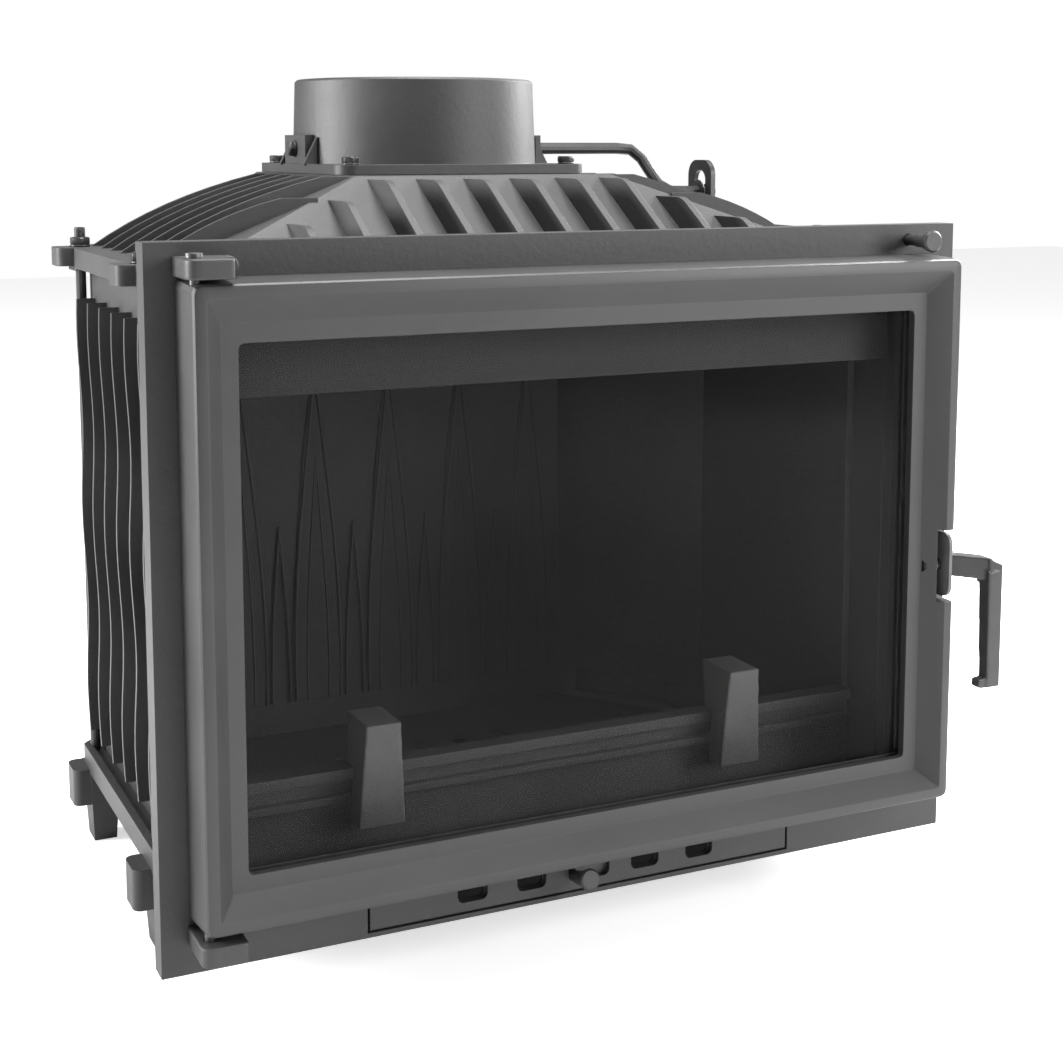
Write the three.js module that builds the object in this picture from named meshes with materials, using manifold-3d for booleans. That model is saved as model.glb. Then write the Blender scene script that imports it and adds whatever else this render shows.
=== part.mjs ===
// Cast-iron fireplace insert with a swinging glass door, a flue damper and an air register.
// Millimetres, +Z up. While it is built, x = 0 is the centre of the front plate, y = 0 is the
// plate's front face (+y runs back into the chimney breast) and z = 0 is the plate's lower edge.
// The finished group is moved so that its origin lies on the ground under the flue's axis.
import * as THREE from 'three';
import { mergeVertices } from 'three/addons/utils/BufferGeometryUtils.js';
import Module from 'manifold-3d';

const wasm = await Module();
wasm.setup();

// ---------------------------------------------------------------- driving dimensions
const fit = 0.3;                 // gap between castings that bear on each other
const run = 0.4;                 // radial clearance of a pin or shaft in its hole

const plate = {                  // front plate that closes the chimney breast
  width: 680, height: 522.6, web: 8, rim: 6, rimDepth: 19,
  mouthHalf: 288, mouthBottom: 64, mouthTop: 478, mouthRadius: 10,
};
const body = {                   // outline of the casing behind the plate
  overlap: 24,                   // how far the plate stands out past the casing all round
  cornerDepth: 400,              // where the sides end and the rear corners are cut off
  wallEnd: 386,                  // where the side walls meet the rear wall
  backHalf: 232, backDepth: 490,
  railHeight: 20, railWall: 7, shelf: 8,
};
const wall = { thickness: 6, inset: 17 };            // inset from the casing's outline
const fins = {                   // serpentine cooling ribs on the side walls
  first: 82, pitch: 48, count: 7, thickness: 4, proud: 16,
  bottom: 65, top: 454, rise: 6, wave: 7, period: 161, steps: 28,
};
const feet = { ground: -43, width: 27, depth: 40, taper: 7, frontDepth: 150, rearDepth: 392 };
const floor = { top: 2.4, thickness: 6 };            // dished floor of the base casting
const lug = { reach: 14, width: 34, height: 16, drop: 30 };
const tie = { radius: 4.5, inset: 11, bottom: -4, nutRadius: 9, nutHeight: 8, stud: 9 };

const hood = {                   // smoke hood on the top casting
  frontHalf: 279, frontDepth: 93, topHalf: 119, topFront: 195, topRear: 480,
  top: 562, wall: 7, rearHalf: 226, rearDepth: 478,
};
const hoodRibs = { count: 10, pitch: 42.9, thickness: 6, proud: 24, edge: 15, foot: 34, corner: 8 };
const hoodFins = { first: 165, pitch: 38, count: 7, thickness: 4, arch: 10, reach: 297, top: 546 };

const flue = {                   // flue collar for a 200 mm pipe
  depth: 365, outer: 110.7, draft: 2.6, bore: 102.5, top: 647,
  flangeHalf: 118, flangeFront: 238, flangeRear: 480, flangeThickness: 8.5, flangeRadius: 16,
  padWidth: 60, padProud: 6, padHeight: 26, gussetHeight: 24, gussetReach: 26, gussetThickness: 5,
};
const damper = {
  discRadius: 99, discThickness: 5, sleeveHalf: 90, sleeveRadius: 9, tilt: 35, shaftRadius: 5.5, height: 584.4, leftReach: 124,
  crankBend: 235, crankReach: 250, pinReach: 299, pinForward: 31, pinDrop: 42.4, bendRadius: 14,
};
const pull = {
  x: 294, z: 510, rodRadius: 4.5, knobRadius: 9, knobLength: 20, knobFace: 34, neckRadius: 5.5,
  eyeThickness: 5, eyeHalf: 22, eyeTop: 573, slotHalf: 11, slotBottom: 527.5, slotTop: 563,
  bossRadius: 8, bossLength: 7,
};

const door = {                   // door frame, sized on its front edges
  half: 316.75, bottom: 42.6, top: 495.6, face: -43, back: -1.8, draft: 2.5,
  ring: 9, bevelSide: 22.2, bevelTop: 27.3, windowSide: 34.2, windowTop: 41.5,
  inner: -26.2, rebate: -20.2, pocket: 26.5, grooveIn: 23, grooveOut: 15, grooveDepth: 6.2,
  round: 3,
};
const glass = { thickness: 4, overlap: 6.5, sealThickness: 2 };
const retainer = { leg: 9, foot: 7, thickness: 1.6 };
const hinge = {
  x: -312, y: -28, pinRadius: 3.5, pinGrip: 22, headRadius: 6, headHeight: 3,
  bracketLeft: -321, bracketRight: -288, reach: 45, height: 14, bossRadius: 6, bossOffset: 7,
};
const latch = {                  // handle, its plate, cam and keeper on the door's right edge
  z: 240, y: -25, shaftRadius: 5, notchDepth: 13.3, notchBottom: 211, notchTop: 272,
  plateThickness: 3, plateBottom: 214, plateTop: 268, plateFront: -41, plateBack: -4,
  camThickness: 4, camHub: 8, camReach: 23.4, camFinger: 7, bearing: 6,
};
const handle = {
  bossRadius: 10, bossLength: 12, armReach: 40.5, armForward: 26, armHeight: 17,
  gripWidth: 14.5, gripDepth: 11, gripDrop: 103, hook: 9, hookHeight: 8,
};

const airPanel = { half: 183.3, bottom: 5.5, top: 52, thickness: 5, gap: 2, slotWidth: 25, slotPitch: 50,
  slotCount: 5, slotBottom: 12.7, slotTop: 29, slotRadius: 5, knobSlot: 36 };
const slider = { half: 150, bottom: 10, top: 33, thickness: 3, stroke: 22, windowTrim: 2,
  knobX: -13.5, knobZ: 18, stemRadius: 4, knobRadius: 8.5, knobLength: 21, knobNeck: 15, tilt: 17 };

const liner = { thickness: 6, face: 286.7, front: 70, kink: 313, backFace: 445, backHalf: 189, top: 430 };
const flames = { count: 5, pitch: 76.5, bottom: 40, top: 372, half: 22, proud: 2.5, points: 9 };
const hearth = { thickness: 6, ledge: 3, front: 62, slotCount: 11, slotPitch: 34, slotLength: 40, slotWidth: 14,
  slotSlant: 8, slotDepth: 150, grateHalf: 105, grateFront: 208, grateRear: 372 };
const rail = { front: 55, top: 112, lip: 9, step: 7, drop: 12, half: 286 };
const guard = { x: 160, top: 152, bottom: 70, front: 29, lean: 6, topWidth: 28, bottomWidth: 38,
  topDepth: 45, bottomDepth: 24 };
const deflector = { bottom: 411, half: 284, thickness: 4, front: 3, bulge: 9 };
const baffle = { thickness: 12, front: 170, frontZ: 452, rear: 449, inset: 26, prop: 10 };
const ash = { half: 150, front: 120, rear: 400, wall: 5, panGap: 4, panHeight: 38, panWall: 2 };

const round = 24;                // sides of a small cylinder

// ---------------------------------------------------------------- sizes that follow
const casing = {
  half: plate.width / 2 - body.overlap,
  bottom: body.overlap - 1, top: plate.height - body.overlap,
  front: plate.rimDepth + fit,
};
casing.wallOut = casing.half - wall.inset;
casing.wallIn = casing.wallOut - wall.thickness;
casing.shelfTop = casing.bottom + body.railHeight - 4;
casing.roofUnder = casing.top - body.shelf;

// ---------------------------------------------------------------- geometry helpers
const bare = (geometry) => {
  geometry.deleteAttribute('normal');
  geometry.deleteAttribute('uv');
  return mergeVertices(geometry, 1e-4);
};
const toSolid = (geometry) => {
  const clean = bare(geometry.clone());
  return new wasm.Manifold(new wasm.Mesh({
    numProp: 3,
    vertProperties: new Float32Array(clean.attributes.position.array),
    triVerts: new Uint32Array(clean.index.array),
  }));
};
const toGeometry = (manifold) => {
  const mesh = manifold.getMesh();
  const geometry = new THREE.BufferGeometry();
  geometry.setAttribute('position', new THREE.BufferAttribute(new Float32Array(mesh.vertProperties), 3));
  geometry.setIndex(new THREE.BufferAttribute(new Uint32Array(mesh.triVerts), 1));
  geometry.computeVertexNormals();
  return geometry;
};
const join = (...shapes) => toGeometry(shapes.map(toSolid).reduce((a, b) => a.add(b)));
const cut = (shape, ...tools) => toGeometry(tools.map(toSolid).reduce((a, b) => a.subtract(b), toSolid(shape)));
const common = (a, b) => toGeometry(toSolid(a).intersect(toSolid(b)));

const block = (x0, x1, y0, y1, z0, z1) =>
  new THREE.BoxGeometry(x1 - x0, y1 - y0, z1 - z0).translate((x0 + x1) / 2, (y0 + y1) / 2, (z0 + z1) / 2);
const shapeOf = (points) => new THREE.Shape(points.map(([a, b]) => new THREE.Vector2(a, b)));
const extrude = (shape, length, curveSegments = 6) =>
  new THREE.ExtrudeGeometry(shape, { depth: length, bevelEnabled: false, curveSegments });
// An outline in (x, z) pushed from y0 back to y1.
const prismY = (shape, y0, y1, segments) =>
  extrude(shape, y1 - y0, segments).rotateX(Math.PI / 2).translate(0, y1, 0);
// An outline in (y, z) pushed from x0 to x1.
const prismX = (shape, x0, x1, segments) =>
  extrude(shape, x1 - x0, segments).rotateY(Math.PI / 2).rotateX(Math.PI / 2).translate(x0, 0, 0);
// An outline in (x, y) raised from z0 to z1.
const prismZ = (shape, z0, z1, segments) => extrude(shape, z1 - z0, segments).translate(0, 0, z0);
const roundedRect = (a0, a1, b0, b1, r) => {
  const s = new THREE.Shape();
  s.moveTo(a0 + r, b0);
  s.lineTo(a1 - r, b0);
  s.absarc(a1 - r, b0 + r, r, -Math.PI / 2, 0);
  s.lineTo(a1, b1 - r);
  s.absarc(a1 - r, b1 - r, r, 0, Math.PI / 2);
  s.lineTo(a0 + r, b1);
  s.absarc(a0 + r, b1 - r, r, Math.PI / 2, Math.PI);
  s.lineTo(a0, b0 + r);
  s.absarc(a0 + r, b0 + r, r, Math.PI, 1.5 * Math.PI);
  return s;
};
const rodX = (x0, x1, y, z, r, sides = round) =>
  new THREE.CylinderGeometry(r, r, x1 - x0, sides).rotateZ(Math.PI / 2).translate((x0 + x1) / 2, y, z);
const rodY = (y0, y1, x, z, r, sides = round) =>
  new THREE.CylinderGeometry(r, r, y1 - y0, sides).translate(0, (y0 + y1) / 2, 0).translate(x, 0, z);
const rodZ = (z0, z1, x, y, r, sides = round) =>
  new THREE.CylinderGeometry(r, r, z1 - z0, sides).rotateX(Math.PI / 2).translate(x, y, (z0 + z1) / 2);
// Revolves a closed outline of [radius, height] points about the vertical line through (x, y).
const latheZ = (points, x, y, sides = 48) => {
  const outline = [...points, points[0]].map(([r, h]) => new THREE.Vector2(r, h));
  return new THREE.LatheGeometry(outline, sides).rotateX(Math.PI / 2).translate(x, y, 0);
};
// Sweeps a closed profile around loops: loops[i] is a closed ring of 3-D points, all of one length.
const loft = (loops) => {
  const n = loops[0].length;
  const positions = loops.flat().flatMap((p) => p);
  const index = [];
  loops.forEach((_, i) => {
    const a = i * n;
    const b = ((i + 1) % loops.length) * n;
    for (let j = 0; j < n; j += 1) {
      const k = (j + 1) % n;
      index.push(a + j, a + k, b + k, a + j, b + k, b + j);
    }
  });
  const geometry = new THREE.BufferGeometry();
  geometry.setAttribute('position', new THREE.Float32BufferAttribute(positions, 3));
  geometry.setIndex(index);
  const outward = toSolid(geometry);
  if (outward.volume() > 0) return geometry;
  const flipped = [];
  for (let i = 0; i < index.length; i += 3) flipped.push(index[i], index[i + 2], index[i + 1]);
  geometry.setIndex(flipped);
  return geometry;
};
// Convex or star-shaped solid between a lower and an upper ring with equal point counts.
const frustum = (low, high) => {
  const n = low.length;
  const positions = [...low, ...high].flat();
  const index = [];
  for (let j = 0; j < n; j += 1) {
    const k = (j + 1) % n;
    index.push(j, k, n + k, j, n + k, n + j);
  }
  for (let j = 1; j < n - 1; j += 1) {
    index.push(0, j + 1, j);
    index.push(n, n + j, n + j + 1);
  }
  const geometry = new THREE.BufferGeometry();
  geometry.setAttribute('position', new THREE.Float32BufferAttribute(positions, 3));
  geometry.setIndex(index);
  return geometry;
};
const mirrored = (geometry) => {
  const copy = bare(geometry.clone());
  const p = copy.attributes.position;
  for (let i = 0; i < p.count; i += 1) p.setX(i, -p.getX(i));
  const index = copy.index.array;
  for (let i = 0; i < index.length; i += 3) {
    const swap = index[i + 1];
    index[i + 1] = index[i + 2];
    index[i + 2] = swap;
  }
  copy.computeVertexNormals();
  return copy;
};

// ---------------------------------------------------------------- finishes
const finish = (color, roughness, metalness) =>
  new THREE.MeshStandardMaterial({ color, roughness, metalness });
const castIron = finish(0x3c3d3f, 0.62, 0.35);
const darkIron = finish(0x2c2d2f, 0.7, 0.3);
const steel = finish(0x55575a, 0.45, 0.7);
const rope = finish(0x1c1c1c, 0.95, 0);
const clear = new THREE.MeshStandardMaterial({ color: 0x8a8d8f, roughness: 0.05, metalness: 0,
  transparent: true, opacity: 0.25 });

const insert = new THREE.Group();
const add = (name, geometry, material) => {
  const mesh = new THREE.Mesh(geometry, material);
  mesh.name = name;
  insert.add(mesh);
};

// ---------------------------------------------------------------- front plate
// The casing's outline in plan, moved inwards by "inset".
const planOutline = (inset, front = casing.front) => {
  const corner = (body.backDepth - body.cornerDepth) / (casing.half - body.backHalf);
  const slant = inset * (Math.sqrt(1 + corner * corner) - corner);
  const slantBack = inset * (Math.sqrt(1 + 1 / (corner * corner)) - 1 / corner);
  return [
    [-(casing.half - inset), front], [casing.half - inset, front],
    [casing.half - inset, body.cornerDepth - slant], [body.backHalf - slantBack, body.backDepth - inset],
    [-(body.backHalf - slantBack), body.backDepth - inset], [-(casing.half - inset), body.cornerDepth - slant],
  ];
};

const keeperX = [door.half - latch.notchDepth + latch.camThickness + 1.4, door.half - 4];
const makeFrontPlate = () => {
  const half = plate.width / 2;
  const slab = block(-half, half, 0, plate.rimDepth, 0, plate.height);
  const hollow = block(-half + plate.rim, half - plate.rim, plate.web, plate.rimDepth + 1,
    plate.rim, plate.height - plate.rim);
  const mouth = prismY(roundedRect(-plate.mouthHalf, plate.mouthHalf, plate.mouthBottom, plate.mouthTop,
    plate.mouthRadius), -1, plate.web + 1);
  const window = block(-airPanel.half - airPanel.gap, airPanel.half + airPanel.gap, -1, plate.web + 1,
    airPanel.bottom - airPanel.gap, airPanel.top + airPanel.gap);
  const rodHole = rodY(-1, plate.web + 1, pull.x, pull.z, pull.rodRadius + run, round);
  return cut(slab, hollow, mouth, window, rodHole);
};

// ---------------------------------------------------------------- base, roof and walls
const lugBlock = (depth, z0, z1) => {
  const x1 = casing.half + lug.reach;
  const shape = roundedRect(casing.wallOut + fit, x1, depth - lug.width / 2, depth + lug.width / 2, 7);
  return prismZ(shape, z0, z1, 4);
};
const bothSides = (geometry) => [geometry, mirrored(geometry)];
const tieDepths = { front: feet.frontDepth, rear: feet.rearDepth };
const tieHoles = (z0, z1) => Object.values(tieDepths).flatMap((depth) =>
  bothSides(rodZ(z0, z1, casing.half - tie.inset + 2, depth, tie.radius + run, 16)));

const makeFoot = (depth) => {
  const top = casing.bottom + 2;
  const ring = (half, halfDepth, z) => {
    const x = casing.half - feet.width / 2;
    return [[x - half, depth - halfDepth, z], [x + half, depth - halfDepth, z],
      [x + half, depth + halfDepth, z], [x - half, depth + halfDepth, z]];
  };
  return frustum(ring(feet.width / 2 - feet.taper / 2, feet.depth / 2 - feet.taper, feet.ground),
    ring(feet.width / 2, feet.depth / 2, top));
};

const ashMouth = () => block(-ash.half + ash.wall, ash.half - ash.wall, ash.front + ash.wall,
  ash.rear - ash.wall, floor.top - floor.thickness - 1, floor.top + 1);
const makeBase = () => {
  const rim = prismZ(shapeOf(planOutline(0)), casing.bottom, casing.bottom + body.railHeight);
  const tray = prismZ(shapeOf(planOutline(body.railWall, casing.front + body.railWall)),
    casing.shelfTop, casing.bottom + body.railHeight + 1);
  const well = prismZ(shapeOf(planOutline(wall.inset + wall.thickness - fit, casing.front)),
    floor.top - floor.thickness, casing.bottom + 1);
  const dish = prismZ(shapeOf(planOutline(wall.inset + wall.thickness + 5, casing.front - 1)),
    floor.top, casing.bottom + body.railHeight + 2);
  const lugs = Object.values(tieDepths).flatMap((d) => bothSides(lugBlock(d, casing.bottom - lug.drop,
    casing.bottom + 3)));
  const legs = Object.values(tieDepths).flatMap((d) => bothSides(makeFoot(d)));
  const skirtY = feet.rearDepth + 14;
  const skirt = block(-casing.half + 30, casing.half - 30, skirtY, skirtY + 6, feet.ground + 8, floor.top - 1);
  return cut(join(cut(join(rim, well), tray, dish), ...lugs, ...legs, skirt), ashMouth(),
    ...tieHoles(tie.bottom - fit, casing.bottom + body.railHeight + 2));
};

const serpentine = (depth) => {
  const front = [];
  const back = [];
  for (let i = 0; i <= fins.steps; i += 1) {
    const z = fins.bottom + (fins.top - fins.bottom) * (i / fins.steps);
    const shift = fins.wave * Math.sin((2 * Math.PI * (z - fins.bottom)) / fins.period);
    front.push([depth + shift - fins.thickness / 2, z]);
    back.unshift([depth + shift + fins.thickness / 2, z]);
  }
  return prismX(shapeOf([...front, ...back]), casing.wallOut - 1, casing.wallOut + fins.proud);
};
const makeRightWall = () => {
  const panel = block(casing.wallIn, casing.wallOut, casing.front + body.railWall + fit, body.wallEnd,
    casing.shelfTop + fit, casing.roofUnder - fit);
  const ribs = [];
  for (let i = 0; i < fins.count; i += 1) ribs.push(serpentine(fins.first + i * fins.pitch));
  const chamfer = prismY(shapeOf([[casing.wallOut, fins.top + fins.rise],
    [casing.wallOut + fins.proud + 2, fins.top - 1], [casing.wallOut + fins.proud + 2, fins.top + 20],
    [casing.wallOut, fins.top + 20]]), 0, body.cornerDepth);
  return cut(join(panel, ...ribs), chamfer);
};
const makeBackWall = () => {
  const z0 = casing.shelfTop + fit;
  const z1 = casing.roofUnder - fit;
  const start = body.wallEnd + fit;
  const outer = prismZ(shapeOf(planOutline(wall.inset, start)), z0, z1);
  const inner = prismZ(shapeOf(planOutline(wall.inset + wall.thickness, start - 1)), z0 - 1, z1 + 1);
  const ribs = [];
  for (let i = -4; i <= 4; i += 1) {
    ribs.push(block(i * fins.pitch - fins.thickness / 2, i * fins.pitch + fins.thickness / 2,
      body.backDepth - wall.inset - 1, body.backDepth - 3, fins.bottom, fins.top));
  }
  return join(cut(outer, inner), ...ribs);
};

// ---------------------------------------------------------------- top casting with its hood
const hoodRing = (grow, z) => {
  const t = (z - (casing.top)) / (hood.top - casing.top);
  const mix = (a, b) => a + (b - a) * t;
  const frontHalf = mix(hood.frontHalf, hood.topHalf) + grow;
  const rearHalf = mix(hood.rearHalf, hood.topHalf) + grow;
  const cornerY = mix(body.cornerDepth - 12, hood.topRear - 2);
  return [
    [-frontHalf, mix(hood.frontDepth, hood.topFront) - grow, z],
    [frontHalf, mix(hood.frontDepth, hood.topFront) - grow, z],
    [frontHalf, cornerY, z], [rearHalf, mix(hood.rearDepth, hood.topRear) + grow, z],
    [-rearHalf, mix(hood.rearDepth, hood.topRear) + grow, z], [-frontHalf, cornerY, z],
  ];
};
const slopeZ = (y) => casing.top + ((hood.top - casing.top) * (y - hood.frontDepth))
  / (hood.topFront - hood.frontDepth);
const ridgeHalf = (y) => hood.frontHalf + ((y - hood.frontDepth) / (hood.topFront - hood.frontDepth))
  * (hood.topHalf - hood.frontHalf);
const makeHoodRib = (x) => {
  const wanted = hood.topFront - ((Math.abs(x) + hoodRibs.edge - hood.topHalf) / (hood.frontHalf - hood.topHalf))
    * (hood.topFront - hood.frontDepth);
  const rootY = Math.min(hood.topFront - 4, wanted);
  const rootZ = slopeZ(rootY);
  const slope = (hood.top - casing.top) / (hood.topFront - hood.frontDepth);
  const level = hoodRibs.proud / Math.sin(Math.atan(slope));
  const footY = Math.max(hoodRibs.foot, rootY - level - (rootZ - casing.top) / slope);
  const crestFootZ = rootZ - (rootY - level - footY) * slope;
  const s = new THREE.Shape();
  s.moveTo(rootY + 4, rootZ);
  s.lineTo(rootY - level + hoodRibs.corner, rootZ);
  s.quadraticCurveTo(rootY - level, rootZ, rootY - level - hoodRibs.corner, rootZ - hoodRibs.corner * slope);
  s.lineTo(footY, Math.max(crestFootZ, casing.top - 2));
  s.lineTo(footY, casing.top - 2);
  s.lineTo(rootY + 4, casing.top - 2);
  return prismX(s, x - hoodRibs.thickness / 2, x + hoodRibs.thickness / 2, 4);
};
const makeHoodFin = (y) => {
  const s = new THREE.Shape();
  const inner = Math.max(hood.topHalf - 4, ridgeHalf(y) - 4);
  const innerZ = Math.min(hood.top, y < hood.topFront ? hoodFins.top : hood.top);
  const outer = hoodFins.reach;
  s.moveTo(outer, casing.top);
  s.quadraticCurveTo((outer * 2 + inner) / 3, casing.top + (innerZ - casing.top) * 0.5 + hoodFins.arch,
    inner + 30, innerZ);
  s.lineTo(inner, innerZ);
  s.lineTo(inner, casing.top - 2);
  s.lineTo(outer, casing.top - 2);
  return prismY(s, y - hoodFins.thickness / 2, y + hoodFins.thickness / 2, 8);
};
const makeTop = () => {
  const band = prismZ(shapeOf(planOutline(0)), casing.top - body.railHeight, casing.top);
  const under = prismZ(shapeOf(planOutline(body.railWall, casing.front + body.railWall)),
    casing.top - body.railHeight - 1, casing.roofUnder);
  const shell = frustum(hoodRing(0, casing.top - 1), hoodRing(0, hood.top));
  const ribs = [];
  for (let i = 0; i < hoodRibs.count; i += 1) {
    ribs.push(makeHoodRib((i - (hoodRibs.count - 1) / 2) * hoodRibs.pitch));
  }
  for (let i = 0; i < hoodFins.count; i += 1) ribs.push(...bothSides(makeHoodFin(hoodFins.first + i * hoodFins.pitch)));
  const lugs = Object.values(tieDepths).flatMap((d) => bothSides(lugBlock(d, casing.top - lug.height,
    casing.top)));
  const cavity = frustum(hoodRing(-hood.wall, casing.top - body.railHeight - 2),
    hoodRing(-hood.wall, hood.top - hood.wall));
  const throat = rodZ(casing.top, hood.top + 1, 0, flue.depth, flue.bore, 48);
  return cut(join(cut(band, under), shell, ...ribs, ...lugs), cavity, throat,
    ...tieHoles(casing.top - body.railHeight - 20, casing.top + 2));
};

// ---------------------------------------------------------------- flue collar and damper
const outward = (geometry) => {
  const clean = bare(geometry);
  if (toSolid(clean).volume() > 0) return clean;
  const index = clean.index.array;
  for (let i = 0; i < index.length; i += 3) {
    const swap = index[i + 1];
    index[i + 1] = index[i + 2];
    index[i + 2] = swap;
  }
  return clean;
};
const flangeBottom = hood.top + fit;
const flangeTop = flangeBottom + flue.flangeThickness;
const makeCollar = () => {
  const flange = prismZ(roundedRect(-flue.flangeHalf, flue.flangeHalf, flue.flangeFront, flue.flangeRear,
    flue.flangeRadius), flangeBottom, flangeTop);
  const tube = outward(latheZ([[flue.bore, flangeBottom], [flue.outer + flue.draft, flangeBottom],
    [flue.outer + flue.draft, flangeTop], [flue.outer, flue.top - 2], [flue.outer - 2, flue.top],
    [flue.bore, flue.top]], 0, flue.depth, 64));
  const pads = bothSides(block(flue.bore, flue.outer + flue.padProud, flue.depth - flue.padWidth / 2,
    flue.depth + flue.padWidth / 2, flangeTop - 1, flangeTop + flue.padHeight));
  const gusset = (y) => prismY(shapeOf([[flue.outer - 3, flangeTop - 1],
    [flue.outer + flue.gussetReach - 16, flangeTop - 1], [flue.outer - 3, flangeTop + flue.gussetHeight]]),
  y - flue.gussetThickness / 2, y + flue.gussetThickness / 2);
  const gussets = [-1, 1].flatMap((side) =>
    bothSides(gusset(flue.depth + side * (flue.padWidth / 2 + flue.gussetThickness))));
  const bore = rodZ(flangeBottom - 1, flue.top + 1, 0, flue.depth, flue.bore, 64);
  const shaftHole = rodX(-flue.outer - 20, flue.outer + 20, flue.depth, damper.height,
    damper.shaftRadius + run, 16);
  return cut(join(flange, tube, ...pads, ...gussets), bore, shaftHole);
};
const makeDisc = () => {
  const disc = rodZ(-damper.discThickness / 2, damper.discThickness / 2, 0, 0, damper.discRadius, 48)
    .rotateX((damper.tilt * Math.PI) / 180).translate(0, flue.depth, damper.height);
  const sleeve = rodX(-damper.sleeveHalf, damper.sleeveHalf, flue.depth, damper.height, damper.sleeveRadius, 20);
  return cut(join(disc, sleeve),
    rodX(-flue.outer, flue.outer, flue.depth, damper.height, damper.shaftRadius + fit, 16));
};
// Round bar bent along straight runs with rounded corners.
const bentBar = (points, radius, bend) => {
  const path = new THREE.CurvePath();
  const v = points.map((p) => new THREE.Vector3(...p));
  let start = v[0];
  for (let i = 1; i < v.length - 1; i += 1) {
    const before = v[i].clone().add(v[i - 1].clone().sub(v[i]).setLength(bend));
    const after = v[i].clone().add(v[i + 1].clone().sub(v[i]).setLength(bend));
    path.add(new THREE.LineCurve3(start, before));
    path.add(new THREE.QuadraticBezierCurve3(before, v[i], after));
    start = after;
  }
  path.add(new THREE.LineCurve3(start, v[v.length - 1]));
  const section = new THREE.Shape();
  section.absarc(0, 0, radius, 0, 2 * Math.PI);
  return outward(new THREE.ExtrudeGeometry(section, { steps: 30, curveSegments: 5, extrudePath: path,
    bevelEnabled: false }));
};
const pinY = flue.depth - damper.pinForward;
const pinZ = damper.height - damper.pinDrop;
const makeDamperShaft = () => join(bentBar([
  [-damper.leftReach, flue.depth, damper.height], [damper.crankBend, flue.depth, damper.height],
  [damper.crankReach, pinY, pinZ], [damper.pinReach + 6, pinY, pinZ],
], damper.shaftRadius, damper.bendRadius));

const makePullRod = () => {
  const eyeX = pull.x;
  const eye = prismX(roundedRect(pinY - pull.eyeHalf, pinY + pull.eyeHalf, pull.z - 7, pull.eyeTop, 15),
    eyeX - pull.eyeThickness / 2, eyeX + pull.eyeThickness / 2, 5);
  const slot = prismX(roundedRect(pinY - pull.slotHalf, pinY + pull.slotHalf, pull.slotBottom,
    pull.slotTop, pull.slotHalf - 1), eyeX - 10, eyeX + 10, 5);
  const rod = rodY(-pull.knobFace + pull.knobLength - 4, pinY - pull.eyeHalf + 6, pull.x, pull.z, pull.rodRadius, 16);
  return join(cut(eye, slot), rod);
};
const makeKnob = (length, radius, neck) => latheZ([[0, 0], [neck, 0], [neck, length * 0.35],
  [radius - 1, length * 0.7], [radius, length - 1.5], [radius - 1.5, length], [0, length]], 0, 0, 20);
const makePullKnob = () => {
  const knob = outward(makeKnob(pull.knobLength, pull.knobRadius, pull.neckRadius)).rotateX(Math.PI / 2)
    .translate(pull.x, -pull.knobFace + pull.knobLength, pull.z);
  return cut(knob, rodY(-pull.knobFace + pull.knobLength - 4 - fit, 20, pull.x, pull.z,
    pull.rodRadius + fit, 16));
};

// ---------------------------------------------------------------- door
// A rounded rectangle loop inset from the door's front edges: side, bottom and top insets, and depth.
const doorLoop = (side, bottomInset, topInset, y, r = 2) => {
  const half = door.half - side;
  const z0 = door.bottom + bottomInset;
  const z1 = door.top - topInset;
  const corner = (cx, cz, from) => [0, 1, 2].map((i) => {
    const angle = from + (i * Math.PI) / 4;
    return [cx + r * Math.cos(angle), y, cz + r * Math.sin(angle)];
  });
  return [...corner(half - r, z0 + r, -Math.PI / 2), ...corner(half - r, z1 - r, 0),
    ...corner(-half + r, z1 - r, Math.PI / 2), ...corner(-half + r, z0 + r, Math.PI)];
};
const evenLoop = (inset, y, r) => doorLoop(inset, inset, inset, y, r);
const makeDoorFrame = () => {
  const frame = loft([
    evenLoop(-door.draft, door.back, 5), evenLoop(-0.3, door.face + door.round, 5),
    evenLoop(door.round * 0.3, door.face + door.round * 0.3, 5), evenLoop(door.round, door.face, 4),
    evenLoop(door.ring, door.face, 3),
    doorLoop(door.bevelSide, door.bevelSide, door.bevelTop, door.inner, 3),
    doorLoop(door.windowSide, door.windowSide, door.windowTop, door.inner, 4),
    doorLoop(door.windowSide, door.windowSide, door.windowTop, door.rebate, 4),
    evenLoop(door.pocket, door.rebate, 2), evenLoop(door.pocket, door.back, 2),
    evenLoop(door.grooveIn, door.back, 3), evenLoop(door.grooveIn, door.back - door.grooveDepth, 3),
    evenLoop(door.grooveOut, door.back - door.grooveDepth, 4), evenLoop(door.grooveOut, door.back, 4),
  ]);
  const notch = block(door.half - latch.notchDepth, door.half + 5, door.face - 1, 1,
    latch.notchBottom, latch.notchTop);
  const shaftBore = rodX(door.half - latch.notchDepth - latch.bearing - 2, door.half, latch.y, latch.z,
    latch.shaftRadius + run, 20);
  const pinHoles = [door.top, door.bottom].map((z) =>
    rodZ(z - hinge.pinGrip, z + hinge.pinGrip, hinge.x, hinge.y, hinge.pinRadius + run, 16));
  return cut(frame, notch, shaftBore, ...pinHoles);
};
const paneFront = door.rebate + fit + glass.sealThickness + fit;
const paneBack = paneFront + glass.thickness;
const paneInset = door.pocket + 1;
const makeGlass = () => {
  const half = door.half - paneInset;
  return block(-half, half, paneFront, paneBack, door.bottom + paneInset, door.top - paneInset);
};
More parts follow.
